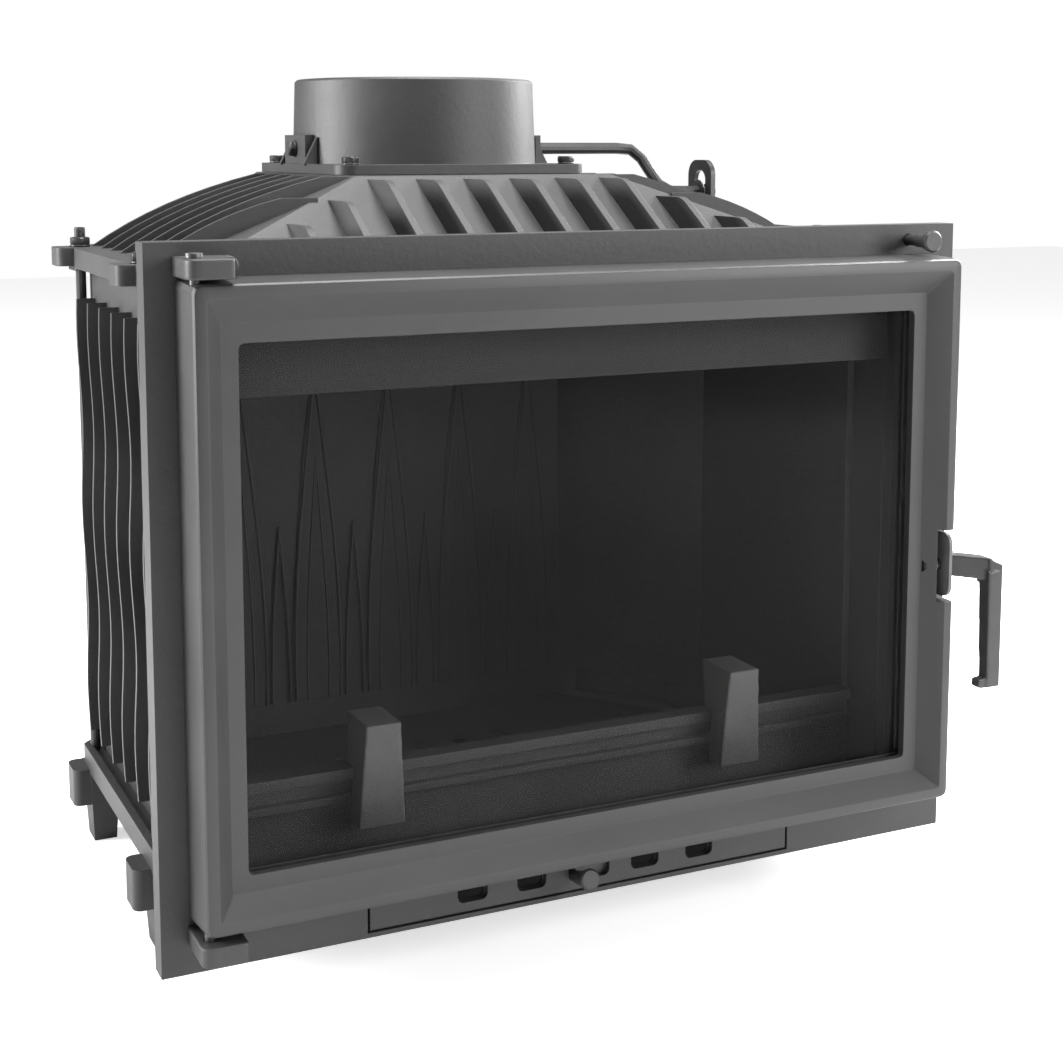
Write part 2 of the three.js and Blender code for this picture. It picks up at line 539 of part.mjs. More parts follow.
const makeGlassSeal = () => {
  const y0 = door.rebate + fit;
  const y1 = y0 + glass.sealThickness;
  return loft([doorLoop(paneInset, paneInset, paneInset, y0), doorLoop(door.windowSide - 1,
    door.windowSide - 1, door.windowTop - 1, y0), doorLoop(door.windowSide - 1, door.windowSide - 1,
    door.windowTop - 1, y1), doorLoop(paneInset, paneInset, paneInset, y1)]);
};
const makeDoorSeal = () => {
  const inner = door.grooveIn - fit;
  const outer = door.grooveOut + fit;
  const front = door.back - door.grooveDepth + fit;
  const back = -fit;
  const soft = 2;
  const loops = [[outer + soft, front, 4], [outer, front + soft, 4], [outer, back - soft, 4],
    [outer + soft, back, 4], [inner - soft, back, 3], [inner, back - soft, 3], [inner, front + soft, 3],
    [inner - soft, front, 3]];
  return loft(loops.map(([inset, y, r]) => evenLoop(inset, y, r)));
};
// Angle strips press the pane into the door along its four sides.
const retainerBack = Math.min(paneBack + fit + retainer.leg, door.back - 0.5);
const makeSideRetainer = () => {
  const edge = door.half - door.pocket - fit;
  const trim = door.pocket + retainer.foot + 4;
  const y0 = paneBack + fit;
  return join(
    block(edge - retainer.foot, edge, y0, y0 + retainer.thickness, door.bottom + trim, door.top - trim),
    block(edge - retainer.thickness, edge, y0, retainerBack, door.bottom + trim, door.top - trim));
};
const makeEndRetainer = (edge, inward) => {
  const half = door.half - door.pocket - 2;
  const y0 = paneBack + fit;
  const span = (a, b) => [Math.min(edge + inward * a, edge + inward * b), Math.max(edge + inward * a, edge + inward * b)];
  return join(block(-half, half, y0, y0 + retainer.thickness, ...span(fit, retainer.foot)),
    block(-half, half, y0, retainerBack, ...span(fit, fit + retainer.thickness)));
};

// ---------------------------------------------------------------- hinge
const makeBracket = (z0) => {
  const shape = new THREE.Shape();
  const { bracketLeft: l, bracketRight: r, reach } = hinge;
  shape.moveTo(l, -fit);
  shape.lineTo(l, -reach + 10);
  shape.quadraticCurveTo(l, -reach, l + 9, -reach);
  shape.lineTo(r - 3, -reach);
  shape.quadraticCurveTo(r, -reach, r, -reach + 3);
  shape.lineTo(r, -fit);
  const arm = prismZ(shape, z0, z0 + hinge.height, 5);
  const boss = rodY(-14, -fit, r + hinge.bossOffset - 3, z0 + hinge.height / 2, hinge.bossRadius + 1, 20);
  const tab = block(r - 4, r + hinge.bossOffset, -6, -fit, z0, z0 + hinge.height);
  const hole = rodZ(z0 - 1, z0 + hinge.height + 1, hinge.x, hinge.y, hinge.pinRadius + fit, 16);
  return cut(join(arm, tab, boss), hole);
};
const upperBracketZ = door.top + door.draft + 1;
const lowerBracketZ = door.bottom - door.draft - 3.7 - hinge.height;
// A headed pin: "seat" is the bracket face under its head and "tip" its far end in the door.
const makePin = (seat, tip) => {
  const side = Math.sign(seat - tip);
  const rod = (a, b, r) => rodZ(Math.min(a, b), Math.max(a, b), hinge.x, hinge.y, r, 16);
  return join(rod(seat + side * (fit + 1), tip, hinge.pinRadius),
    rod(seat + side * fit, seat + side * (fit + hinge.headHeight), hinge.headRadius));
};

// ---------------------------------------------------------------- handle and latch
const plateOutside = door.half - 0.6;
const makeLatchPlate = () => {
  const x0 = plateOutside - latch.plateThickness;
  const body2 = prismX(roundedRect(latch.plateFront, latch.plateBack, latch.plateBottom, latch.plateTop, 9),
    x0, plateOutside, 6);
  const shaftHole = rodX(x0 - 1, plateOutside + 1, latch.y, latch.z, latch.shaftRadius + run, 20);
  const screwHole = rodX(x0 - 1, plateOutside + 1, latch.y + 2, latch.plateBottom + 8, 2.5, 12);
  return cut(body2, shaftHole, screwHole);
};
const camX0 = door.half - latch.notchDepth + 0.6;
const camX1 = camX0 + latch.camThickness;
const makeCam = () => {
  const hub = rodX(camX0, camX1, latch.y, latch.z, latch.camHub, 20);
  const finger = prismX(roundedRect(latch.y - 3, latch.y + 17, latch.z - latch.camReach,
    latch.z - latch.camReach + latch.camFinger, 2), camX0, camX1, 3);
  const web = block(camX0, camX1, latch.y - 4, latch.y + 4, latch.z - latch.camReach + 2, latch.z);
  return cut(join(hub, web, finger), rodX(camX0 - 1, camX1 + 1, latch.y, latch.z, latch.shaftRadius + fit, 20));
};
const handleX = plateOutside + fit;
const makeHandle = () => {
  const boss = rodX(handleX, handleX + handle.bossLength, latch.y, latch.z, handle.bossRadius, 24);
  const shaft = rodX(door.half - latch.notchDepth - latch.bearing, handleX + 2, latch.y, latch.z,
    latch.shaftRadius, 20);
  const gripX1 = handleX + handle.armReach;
  const gripX0 = gripX1 - handle.gripWidth;
  const gripY = latch.y - handle.armForward;
  const armTop = latch.z + handle.bossRadius;
  const ring = (x, y, halfDepth, z0, z1) => [[x, y - halfDepth, z0], [x, y + halfDepth, z0],
    [x, y + halfDepth, z1], [x, y - halfDepth, z1]];
  const skin = (a, b) => outward(frustum(a, b));
  const arm = skin(ring(handleX + 1, latch.y, handle.bossRadius - 1, latch.z - handle.bossRadius + 1, armTop - 1),
    ring(gripX0 + 5, gripY + 5, handle.gripDepth / 2 + 3, armTop - 22, armTop - 3));
  const elbow = skin(ring(gripX0 + 2, gripY + 5, handle.gripDepth / 2 + 3, armTop - 26, armTop - 3),
    ring(gripX1, gripY, handle.gripDepth / 2, armTop - 30, armTop - 9));
  const bottom = latch.z - handle.gripDrop;
  const slab = (z, x0, x1, y0, y1) => [[x0, y0, z], [x1, y0, z], [x1, y1, z], [x0, y1, z]];
  const y0 = gripY - handle.gripDepth / 2;
  const y1 = gripY + handle.gripDepth / 2;
  const grip = skin(slab(bottom, gripX0 + 1, gripX1, y0, y1), slab(armTop - 14, gripX0, gripX1, y0, y1 + 3));
  const hook = prismY(roundedRect(gripX0 - handle.hook + 2, gripX0 + 8, bottom, bottom + handle.hookHeight, 3),
    y0 + 1, y1, 4);
  return join(boss, shaft, arm, elbow, grip, hook);
};
const makeKeeper = () => {
  const z0 = latch.z - latch.camReach + latch.camFinger + 0.8;
  const cheek = block(keeperX[0], keeperX[1] - 1, -15, -fit, z0 - 4, z0 + 12);
  const foot2 = block(camX0 + 0.5, keeperX[1] - 1, -14, -7, z0, z0 + 5);
  return join(cheek, foot2);
};

// ---------------------------------------------------------------- air register
const slotShape = (centre, width) => roundedRect(centre - width / 2, centre + width / 2, airPanel.slotBottom,
  airPanel.slotTop, airPanel.slotRadius);
const slotCentres = Array.from({ length: airPanel.slotCount }, (_, i) =>
  (i - (airPanel.slotCount - 1) / 2) * airPanel.slotPitch);
const makeAirPanel = () => {
  const panel = block(-airPanel.half, airPanel.half, 0, airPanel.thickness, airPanel.bottom, airPanel.top);
  const slots = slotCentres.map((x) => prismY(slotShape(x, x === 0 ? airPanel.knobSlot : airPanel.slotWidth),
    -1, airPanel.thickness + 1, 4));
  const back = airPanel.thickness + slider.thickness + 2 * fit;
  const guides = [[slider.bottom - fit - 3, slider.bottom - fit], [slider.top + fit, slider.top + fit + 3]]
    .map(([z0, z1]) => block(-slider.half, slider.half, airPanel.thickness - 0.5, back + 2, z0, z1));
  const lips = [[slider.bottom - fit - 3, slider.bottom + 2], [slider.top - 2, slider.top + fit + 3]]
    .map(([z0, z1]) => block(-slider.half, slider.half, back, back + 2, z0, z1));
  return cut(join(panel, ...guides, ...lips), ...slots);
};
const makeSlider = () => {
  const y0 = airPanel.thickness + fit;
  const strip = block(-slider.half + slider.stroke, slider.half - slider.stroke, y0, y0 + slider.thickness,
    slider.bottom, slider.top);
  const windows = slotCentres.filter((x) => x !== 0).map((x) => prismY(slotShape(x,
    airPanel.slotWidth - slider.windowTrim), y0 - 1, y0 + slider.thickness + 1, 4));
  const stem = rodY(-slider.knobNeck, y0 + 1, slider.knobX, slider.knobZ, slider.stemRadius, 16);
  return join(cut(strip, ...windows), stem);
};
const makeAirKnob = () => {
  const knob = outward(makeKnob(slider.knobLength, slider.knobRadius, slider.stemRadius + 1.5))
    .rotateX(Math.PI / 2 - (slider.tilt * Math.PI) / 180)
    .translate(slider.knobX, -slider.knobNeck + 6, slider.knobZ + 1);
  return cut(knob, rodY(-slider.knobNeck - fit, 10, slider.knobX, slider.knobZ, slider.stemRadius + fit, 16));
};

// ---------------------------------------------------------------- firebox lining
const makeRightLiner = () => {
  const t = liner.thickness;
  const slope = (liner.face - liner.backHalf) / (liner.backFace - liner.kink);
  const bend = t * (Math.sqrt(1 + slope * slope) - 1) / slope;
  const shape = shapeOf([[liner.face, liner.front], [liner.face + t, liner.front],
    [liner.face + t, liner.kink + bend], [liner.backHalf + t * 1.1, liner.backFace - fit],
    [liner.backHalf, liner.backFace - fit], [liner.face, liner.kink]]);
  return prismZ(shape, casing.shelfTop + fit, liner.top);
};
const flameShape = (x, z0, z1, half) => {
  const s = new THREE.Shape();
  s.moveTo(x - half, z0);
  s.quadraticCurveTo(x - half - 2, z0 + (z1 - z0) * 0.62, x, z1);
  s.quadraticCurveTo(x + half + 2, z0 + (z1 - z0) * 0.62, x + half, z0);
  return s;
};
const makeBackLiner = () => {
  const panel = block(-liner.backHalf - 8, liner.backHalf + 8, liner.backFace, liner.backFace + liner.thickness,
    floor.top + fit, liner.top);
  const reliefs = [];
  for (let i = 0; i < flames.count; i += 1) {
    const x = (i - (flames.count - 1) / 2) * flames.pitch;
    reliefs.push(prismY(flameShape(x, flames.bottom, flames.top, flames.half),
      liner.backFace - flames.proud, liner.backFace + 1, flames.points));
  }
  return join(panel, ...reliefs);
};
const hearthOutline = () => {
  const side = liner.face - fit;
  return [[-side, hearth.front], [side, hearth.front], [side, liner.kink], [liner.backHalf, liner.backFace - fit],
    [-liner.backHalf, liner.backFace - fit], [-side, liner.kink]];
};
const hearthTop = floor.top + fit + hearth.thickness;
const grateShape = (grow) => shapeOf([[-hearth.grateHalf - 14 - grow, hearth.grateFront - grow],
  [hearth.grateHalf + 14 + grow, hearth.grateFront - grow], [hearth.grateHalf + grow, hearth.grateRear + grow],
  [-hearth.grateHalf - grow, hearth.grateRear + grow]]);
const slantSlot = (x, y, length) => {
  const h = hearth.slotWidth / 2;
  return prismZ(shapeOf([[x - h, y], [x + h, y], [x + h - hearth.slotSlant, y + length],
    [x - h - hearth.slotSlant, y + length]]), 0, hearthTop + 4);
};
const makeHearth = () => {
  const sheet = prismZ(shapeOf(hearthOutline()), hearthTop - hearth.thickness, hearthTop);
  const slots = [];
  for (let i = 0; i < hearth.slotCount; i += 1) {
    slots.push(slantSlot((i - (hearth.slotCount - 1) / 2) * hearth.slotPitch, hearth.slotDepth, hearth.slotLength));
  }
  return cut(sheet, prismZ(grateShape(fit), hearthTop - hearth.ledge, hearthTop + 2),
    prismZ(grateShape(-hearth.ledge * 2), 0, hearthTop + 2), ...slots);
};
const makeGrate = () => {
  const sheet = prismZ(grateShape(0), hearthTop - hearth.ledge + fit, hearthTop);
  const slots = [];
  for (let row = 0; row < 2; row += 1) {
    for (let i = -2; i <= 2; i += 1) slots.push(slantSlot(i * 40 + 4, hearth.grateFront + 18 + row * 72, 56));
  }
  return cut(sheet, ...slots);
};
const makeRail = () => {
  const { front: f, top: t, lip, step, drop } = rail;
  const section = shapeOf([[f, t], [f, t - lip], [f + step, t - lip], [f + step, t - lip - drop],
    [f, t - lip - drop], [f, t - lip - drop - 6], [f + step, t - lip - drop - 6], [f + step + 2, hearthTop + fit],
    [f + step + 14, hearthTop + fit], [f + step + 10, t - 4], [f + step + 10, t]]);
  return prismX(section, -rail.half, rail.half);
};
const makeGuard = () => {
  const ring = (z, width, y0, y1) => [[guard.x - width / 2, y0, z], [guard.x + width / 2, y0, z],
    [guard.x + width / 2, y1, z], [guard.x - width / 2, y1, z]];
  const solid = outward(frustum(
    ring(guard.bottom, guard.bottomWidth, guard.front + guard.lean, guard.front + guard.lean + guard.bottomDepth),
    ring(guard.top, guard.topWidth, guard.front, guard.front + guard.topDepth)));
  const saddle = block(guard.x - 40, guard.x + 40, rail.front - fit, rail.front + rail.step + 10 + fit,
    guard.bottom - 5, rail.top + fit);
  return cut(solid, saddle);
};
const makeDeflector = () => {
  const { bottom: b, front: f, thickness: t, bulge, half } = deflector;
  const top = plate.mouthTop + 10;
  const s = new THREE.Shape();
  s.moveTo(plate.web + fit, b);
  s.quadraticCurveTo(plate.web + fit + bulge, (b + top) / 2, plate.web + fit, top);
  s.lineTo(plate.web + fit + t, top);
  s.quadraticCurveTo(plate.web + fit + bulge + t, (b + top) / 2, plate.web + fit + t, b);
  return prismX(s, -half, half, 8);
};
const makeBaffle = () => {
  const half = liner.face + liner.thickness - 2;
  const { front, frontZ, rear, thickness } = baffle;
  const rearZ = liner.top + fit;
  const sheet = prismX(shapeOf([[front, frontZ], [rear, rearZ], [rear, rearZ + thickness],
    [front, frontZ + thickness]]), -half, half);
  const prop = block(half - baffle.prop, half, front + 2, front + 2 + baffle.prop, rearZ, frontZ + 2);
  return common(join(sheet, ...bothSides(prop)), prismZ(shapeOf(planOutline(baffle.inset)), 0, plate.height));
};
const makeAshBox = () => {
  const z1 = floor.top - floor.thickness - fit;
  const shell = block(-ash.half, ash.half, ash.front, ash.rear, feet.ground, z1);
  return cut(shell, block(-ash.half + ash.wall, ash.half - ash.wall, ash.front + ash.wall, ash.rear - ash.wall,
    feet.ground + ash.wall, z1 + 1));
};
const makeAshPan = () => {
  const gap = ash.wall + ash.panGap;
  const z0 = feet.ground + ash.wall + fit;
  const t = ash.panWall;
  const shell = block(-ash.half + gap, ash.half - gap, ash.front + gap, ash.rear - gap, z0, z0 + ash.panHeight);
  return cut(shell, block(-ash.half + gap + t, ash.half - gap - t, ash.front + gap + t, ash.rear - gap - t,
    z0 + t, z0 + ash.panHeight + 1));
};

// ---------------------------------------------------------------- tie rods
const tieX = casing.half - tie.inset + 2;
const makeTieRod = (y) => rodZ(tie.bottom, casing.top + tie.stud + tie.nutHeight, tieX, y, tie.radius, 12);
const makeTieNut = (y) => cut(
  rodZ(casing.top + fit, casing.top + fit + tie.nutHeight, tieX, y, tie.nutRadius, 6),
  rodZ(casing.top - 1, casing.top + 20, tieX, y, tie.radius + fit, 12));

// ---------------------------------------------------------------- assembly
add('front_plate', makeFrontPlate(), castIron);
add('base_casting', makeBase(), castIron);
add('top_casting', makeTop(), castIron);
const rightWall = makeRightWall();
add('right_side_wall', rightWall, castIron);
add('left_side_wall', mirrored(rightWall), castIron);
add('back_wall', makeBackWall(), castIron);
add('flue_collar', makeCollar(), castIron);
add('damper_disc', makeDisc(), darkIron);
add('damper_shaft', makeDamperShaft(), steel);
add('pull_rod', makePullRod(), steel);
add('pull_knob', makePullKnob(), steel);
add('door_frame', makeDoorFrame(), castIron);
add('door_glass', makeGlass(), clear);
add('glass_seal', makeGlassSeal(), rope);
add('door_seal', makeDoorSeal(), rope);
const sideRetainer = makeSideRetainer();
add('glass_retainer_right', sideRetainer, steel);
add('glass_retainer_left', mirrored(sideRetainer), steel);
add('glass_retainer_top', makeEndRetainer(door.top - door.pocket, -1), steel);
add('glass_retainer_bottom', makeEndRetainer(door.bottom + door.pocket, 1), steel);
add('hinge_bracket_top', makeBracket(upperBracketZ), castIron);
add('hinge_bracket_bottom', makeBracket(lowerBracketZ), castIron);
add('hinge_pin_top', makePin(upperBracketZ + hinge.height, door.top - hinge.pinGrip + 2), steel);
add('hinge_pin_bottom', makePin(lowerBracketZ, door.bottom + hinge.pinGrip - 2), steel);
add('latch_plate', makeLatchPlate(), steel);
add('latch_cam', makeCam(), steel);
add('handle', makeHandle(), darkIron);
add('latch_keeper', makeKeeper(), steel);
add('air_panel', makeAirPanel(), castIron);
add('air_slider', makeSlider(), steel);
add('air_knob', makeAirKnob(), steel);
const rightLiner = makeRightLiner();
add('right_liner', rightLiner, darkIron);
add('left_liner', mirrored(rightLiner), darkIron);
add('back_liner', makeBackLiner(), darkIron);
add('hearth_plate', makeHearth(), darkIron);
add('ash_grate', makeGrate(), darkIron);
add('hearth_rail', makeRail(), darkIron);
const rightGuard = makeGuard();
add('log_guard_right', rightGuard, darkIron);
add('log_guard_left', mirrored(rightGuard), darkIron);
add('air_deflector', makeDeflector(), darkIron);
add('smoke_baffle', makeBaffle(), darkIron);
add('ash_box', makeAshBox(), darkIron);
add('ash_pan', makeAshPan(), steel);
Object.entries(tieDepths).forEach(([where, y]) => {
  const rod = makeTieRod(y);
  const nut = makeTieNut(y);
  add(`tie_rod_${where}_right`, rod, steel);
  add(`tie_rod_${where}_left`, mirrored(rod), steel);
  add(`tie_nut_${where}_right`, nut, steel);
  add(`tie_nut_${where}_left`, mirrored(nut), steel);
});

insert.position.set(0, -flue.depth, -feet.ground);
insert.updateMatrixWorld(true);

export default insert;
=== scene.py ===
"""Looks of a cast-iron fireplace insert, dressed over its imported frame.

Each sub-assembly is a class that dresses its own castings and models its small fittings.
All sizes are in metres, in the frame's own axes: +Z up, -Y out to the room, +X to the handle.
"""

import logging
import math
from collections.abc import Callable
from dataclasses import dataclass, field
from enum import Enum

import bmesh
import bpy
from mathutils import Matrix, Vector


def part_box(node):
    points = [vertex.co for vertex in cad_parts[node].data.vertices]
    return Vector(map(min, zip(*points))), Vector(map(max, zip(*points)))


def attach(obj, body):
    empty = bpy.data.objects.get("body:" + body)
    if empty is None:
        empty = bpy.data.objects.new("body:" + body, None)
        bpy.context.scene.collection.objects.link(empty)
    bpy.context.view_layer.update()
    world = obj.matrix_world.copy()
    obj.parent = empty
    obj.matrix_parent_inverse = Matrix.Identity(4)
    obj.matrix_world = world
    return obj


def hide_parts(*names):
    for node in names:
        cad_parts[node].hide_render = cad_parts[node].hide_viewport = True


LOG = logging.getLogger("insert")
MM = 0.001


class Body(Enum):
    """The moving groups of the insert, by their names in the frame."""

    CASING = "casing"
    DOOR = "door"
    HANDLE = "handle_unit"
    DAMPER = "damper"
    PULL_ROD = "pull_rod_unit"
    REGISTER = "air_register"


class Axis(Enum):
    """A direction that a turned piece points along."""

    UP = (0.0, 0.0, 1.0)
    RIGHT = (1.0, 0.0, 0.0)
    LEFT = (-1.0, 0.0, 0.0)


class Slot(Enum):
    """The record's material slots."""

    CASTING = "body_castings"
    DOOR = "door_casting"
    LINING = "lining_castings"
    BLACK = "black_steel"
    BARE = "bare_steel"
    ROPE = "rope_seals"
    PANE = "door_pane"


# ------------------------------------------------------------------ finishes
class Sheet:
    """A new node material and short calls to fill it."""

    def __init__(self, name: str) -> None:
        """Start an empty node tree.

        Args:
            name: The material's name.
        """
        self.material = bpy.data.materials.new(name)
        self.material.use_nodes = True
        self.nodes = self.material.node_tree.nodes
        self.links = self.material.node_tree.links
        self.nodes.clear()
        self.output = self.nodes.new("ShaderNodeOutputMaterial")

    def node(self, kind: str, **values: object) -> bpy.types.Node:
        """Add one node.

        Args:
            kind: The node's type, without the "ShaderNode" in front.
            **values: Settings by attribute name, or inputs by name with _ for a space.

        Returns:
            The new node.
        """
        made = self.nodes.new("ShaderNode" + kind)
        for key, value in values.items():
            if hasattr(made, key):
                setattr(made, key, value)
            else:
                made.inputs[key.replace("_", " ")].default_value = value
        return made

    def join(self, start: bpy.types.NodeSocket, end: bpy.types.NodeSocket) -> None:
        """Link two sockets.

        Args:
            start: The output socket.
            end: The input socket.
        """
        self.links.new(start, end)

    def noise(self, scale: float, detail: float = 2.0, rough: float = 0.5) -> bpy.types.Node:
        """A noise texture on Object coordinates.

        Args:
            scale: Cells to the metre.
            detail: Octaves of finer noise.
            rough: How strong the finer octaves are.

        Returns:
            The texture node.
        """
        place = self.node("TexCoord")
        made = self.node("TexNoise", Scale=scale, Detail=detail, Roughness=rough)
        self.join(place.outputs["Object"], made.inputs["Vector"])
        return made

    def ramp(self, source: bpy.types.NodeSocket, stops: list[tuple[float, tuple]]) -> bpy.types.Node:
        """A colour ramp fed by a value.

        Args:
            source: The value's socket.
            stops: Positions with their colours.

        Returns:
            The ramp node.
        """
        made = self.node("ValToRGB")
        bar = made.color_ramp.elements
        while len(bar) < len(stops):
            bar.new(0.5)
        for stop, (place, colour) in zip(bar, stops):
            stop.position = place
            stop.color = (*colour, 1.0)
        self.join(source, made.inputs["Fac"])
        return made

    def span(self, source: bpy.types.NodeSocket, low: float, high: float) -> bpy.types.Node:
        """Spread a value from 0 to 1 over a range.

        Args:
            source: The value's socket.
            low: What 0 becomes.
            high: What 1 becomes.

        Returns:
            The map node.
        """
        made = self.node("MapRange")
        made.inputs["To Min"].default_value = low
        made.inputs["To Max"].default_value = high
        self.join(source, made.inputs["Value"])
        return made


def grey(level: float, warmth: float = 0.0) -> tuple[float, float, float]:
    """A near-neutral colour.

    Args:
        level: Its lightness, linear.
        warmth: How much redder than blue it is.

    Returns:
        Red, green and blue.
    """
    return (level * (1 + warmth), level, level * (1 - warmth))


@dataclass(frozen=True)
class CastFinish:
    """Heat-resistant satin coat over sand-cast iron."""

    name: str
    level: float
    spread: float = 0.22
    roughness: float = 0.5
    grain: float = 1100.0
    grain_height: float = 0.00022
    swell: float = 0.35
    edge: float = 0.0011
    dust: float = 0.0

    def material(self) -> bpy.types.Material:
        """Build the coat.

        Returns:
            The finished material.
        """
        sheet = Sheet(self.name)
        cloud = sheet.noise(14.0, 4.0, 0.6)
        speck = sheet.noise(self.grain * 0.5, 3.0, 0.7)
        blend = sheet.node("Mix", data_type="FLOAT")
        blend.inputs[0].default_value = 0.42
        sheet.join(cloud.outputs["Fac"], blend.inputs[2])
        sheet.join(speck.outputs["Fac"], blend.inputs[3])
        low, high = self.level * (1 - self.spread), self.level * (1 + self.spread)
        tone = sheet.ramp(blend.outputs[0], [(0.32, grey(low)), (0.68, grey(high, 0.004))])
        shine = sheet.span(cloud.outputs["Fac"], self.roughness - 0.07, self.roughness + 0.09)
        coat = sheet.node("BsdfPrincipled", Metallic=0.0)
        coat.inputs["Specular IOR Level"].default_value = 0.5
        sheet.join(tone.outputs["Color"], coat.inputs["Base Color"])
        sheet.join(shine.outputs["Result"], coat.inputs["Roughness"])
        soft = sheet.node("Bevel", samples=4)
        soft.inputs["Radius"].default_value = self.edge
        fine = sheet.noise(self.grain, 2.0, 0.6)
        wide = sheet.noise(self.grain * 0.16, 2.0, 0.5)
        skin = sheet.node("Bump", Strength=self.swell)
        skin.inputs["Distance"].default_value = self.grain_height * 2.2
        sheet.join(wide.outputs["Fac"], skin.inputs["Height"])
        sheet.join(soft.outputs["Normal"], skin.inputs["Normal"])
        sand = sheet.node("Bump", Strength=0.55)
        sand.inputs["Distance"].default_value = self.grain_height
        sheet.join(fine.outputs["Fac"], sand.inputs["Height"])
        sheet.join(skin.outputs["Normal"], sand.inputs["Normal"])
        sheet.join(sand.outputs["Normal"], coat.inputs["Normal"])
        sheet.join(coat.outputs["BSDF"], sheet.output.inputs["Surface"])
        return sheet.material


@dataclass(frozen=True)
class SteelFinish:
    """Blackened or bare steel, drawn along one direction and a little worn."""

    name: str
    level: float
    roughness: float = 0.42
    metal: float = 0.0
    drawn: tuple[float, float, float] = (1.0, 1.0, 1.0)
    scratch: float = 0.25

    def material(self) -> bpy.types.Material:
        """Build the steel.

        Returns:
            The finished material.
        """
        sheet = Sheet(self.name)
        place = sheet.node("TexCoord")
        stretch = sheet.node("Mapping")
        stretch.inputs["Scale"].default_value = self.drawn
        sheet.join(place.outputs["Object"], stretch.inputs["Vector"])
        grain = sheet.node("TexNoise", Scale=900.0, Detail=4.0)
        sheet.join(stretch.outputs["Vector"], grain.inputs["Vector"])
        patch = sheet.noise(45.0, 3.0)
        tone = sheet.ramp(patch.outputs["Fac"],
                          [(0.3, grey(self.level * 0.8)), (0.7, grey(self.level * 1.25, 0.012))])
        shine = sheet.span(grain.outputs["Fac"], self.roughness - 0.09, self.roughness + 0.12)
        steel = sheet.node("BsdfPrincipled", Metallic=self.metal)
        sheet.join(tone.outputs["Color"], steel.inputs["Base Color"])
        sheet.join(shine.outputs["Result"], steel.inputs["Roughness"])
        soft = sheet.node("Bevel", samples=4)
        soft.inputs["Radius"].default_value = 0.0006
        lines = sheet.node("Bump", Strength=self.scratch)
        lines.inputs["Distance"].default_value = 0.00012
        sheet.join(grain.outputs["Fac"], lines.inputs["Height"])
        sheet.join(soft.outputs["Normal"], lines.inputs["Normal"])
        sheet.join(lines.outputs["Normal"], steel.inputs["Normal"])
        sheet.join(steel.outputs["BSDF"], sheet.output.inputs["Surface"])
        return sheet.material


@dataclass(frozen=True)
class RopeFinish:
    """Braided glass-fibre rope; the braid follows the rope's own UV map, with painted shade darkening the
    grooves between strands.
    """

    name: str
    level: float
    strands: float = 420.0
    lay: float = 3.0

    def material(self) -> bpy.types.Material:
        """Build the braid.

        Returns:
            The finished material.
        """
        sheet = Sheet(self.name)
        place = sheet.node("TexCoord")
        weaves = []
        for turn in (self.lay, -self.lay):
            lean = sheet.node("Mapping")
            lean.inputs["Scale"].default_value = (self.strands, turn, 1.0)
            wave = sheet.node("TexWave", wave_type="BANDS", bands_direction="DIAGONAL", Scale=0.5)
            sheet.join(place.outputs["UV"], lean.inputs["Vector"])
            sheet.join(lean.outputs["Vector"], wave.inputs["Vector"])
            weaves.append(wave)
        high = sheet.node("Math", operation="MAXIMUM")
        sheet.join(weaves[0].outputs["Fac"], high.inputs[0])
        sheet.join(weaves[1].outputs["Fac"], high.inputs[1])
        # Painted shade: the colour follows the braid's height, dark in the grooves between strands and
        # light on the crests.
        tone = sheet.ramp(high.outputs["Value"],
                          [(0.1, grey(self.level * 0.4)), (0.9, grey(self.level * 1.5))])
        yarn = sheet.node("BsdfPrincipled", Roughness=0.92)
        lift = sheet.node("Bump", Strength=0.9)
        lift.inputs["Distance"].default_value = 0.0006
        sheet.join(high.outputs["Value"], lift.inputs["Height"])
        sheet.join(tone.outputs["Color"], yarn.inputs["Base Color"])
        sheet.join(lift.outputs["Normal"], yarn.inputs["Normal"])
        sheet.join(yarn.outputs["BSDF"], sheet.output.inputs["Surface"])
        return sheet.material


@dataclass(frozen=True)
class PaneFinish:
    """Clear ceramic glass, faintly smoked, with a breath of ash haze."""

    name: str
    level: float = 0.02
    cover: float = 0.06

    def material(self) -> bpy.types.Material:
        """Build the pane.

        Returns:
            The finished material.
        """
        sheet = Sheet(self.name)
        haze = sheet.noise(7.0, 4.0, 0.6)
        thin = sheet.span(haze.outputs["Fac"], self.cover * 0.7, self.cover * 1.3)
        smear = sheet.span(haze.outputs["Fac"], 0.03, 0.1)
        pane = sheet.node("BsdfPrincipled")
        pane.inputs["Base Color"].default_value = (*grey(self.level), 1.0)
        pane.inputs["IOR"].default_value = 1.5
        sheet.join(smear.outputs["Result"], pane.inputs["Roughness"])
        sheet.join(thin.outputs["Result"], pane.inputs["Alpha"])
        sheet.join(pane.outputs["BSDF"], sheet.output.inputs["Surface"])
        return sheet.material


Finish = CastFinish | SteelFinish | RopeFinish | PaneFinish

CAST = CastFinish("cast_coat", 0.030, roughness=0.5)
CAST_DOOR = CastFinish("door_coat", 0.033, spread=0.16, roughness=0.47, grain=1500.0,
                       grain_height=0.00014, swell=0.2, edge=0.0009)
CAST_HOOD = CastFinish("hood_coat", 0.036, spread=0.2, roughness=0.52, grain=900.0, grain_height=0.00026)
LINING = CastFinish("firebox_coat", 0.026, spread=0.3, roughness=0.62, grain=800.0,
                    grain_height=0.0003, swell=0.5, edge=0.0016)
BLACK_STEEL = SteelFinish("black_enamel", 0.028, roughness=0.4)
WORN_STEEL = SteelFinish("worn_steel", 0.12, roughness=0.38, metal=0.85, drawn=(0.12, 1.0, 1.0))
FASTENER = SteelFinish("fastener_steel", 0.05, roughness=0.36, metal=0.5)
PRESSED = SteelFinish("pressed_sheet", 0.045, roughness=0.44, metal=0.3, drawn=(0.15, 1.0, 1.0))
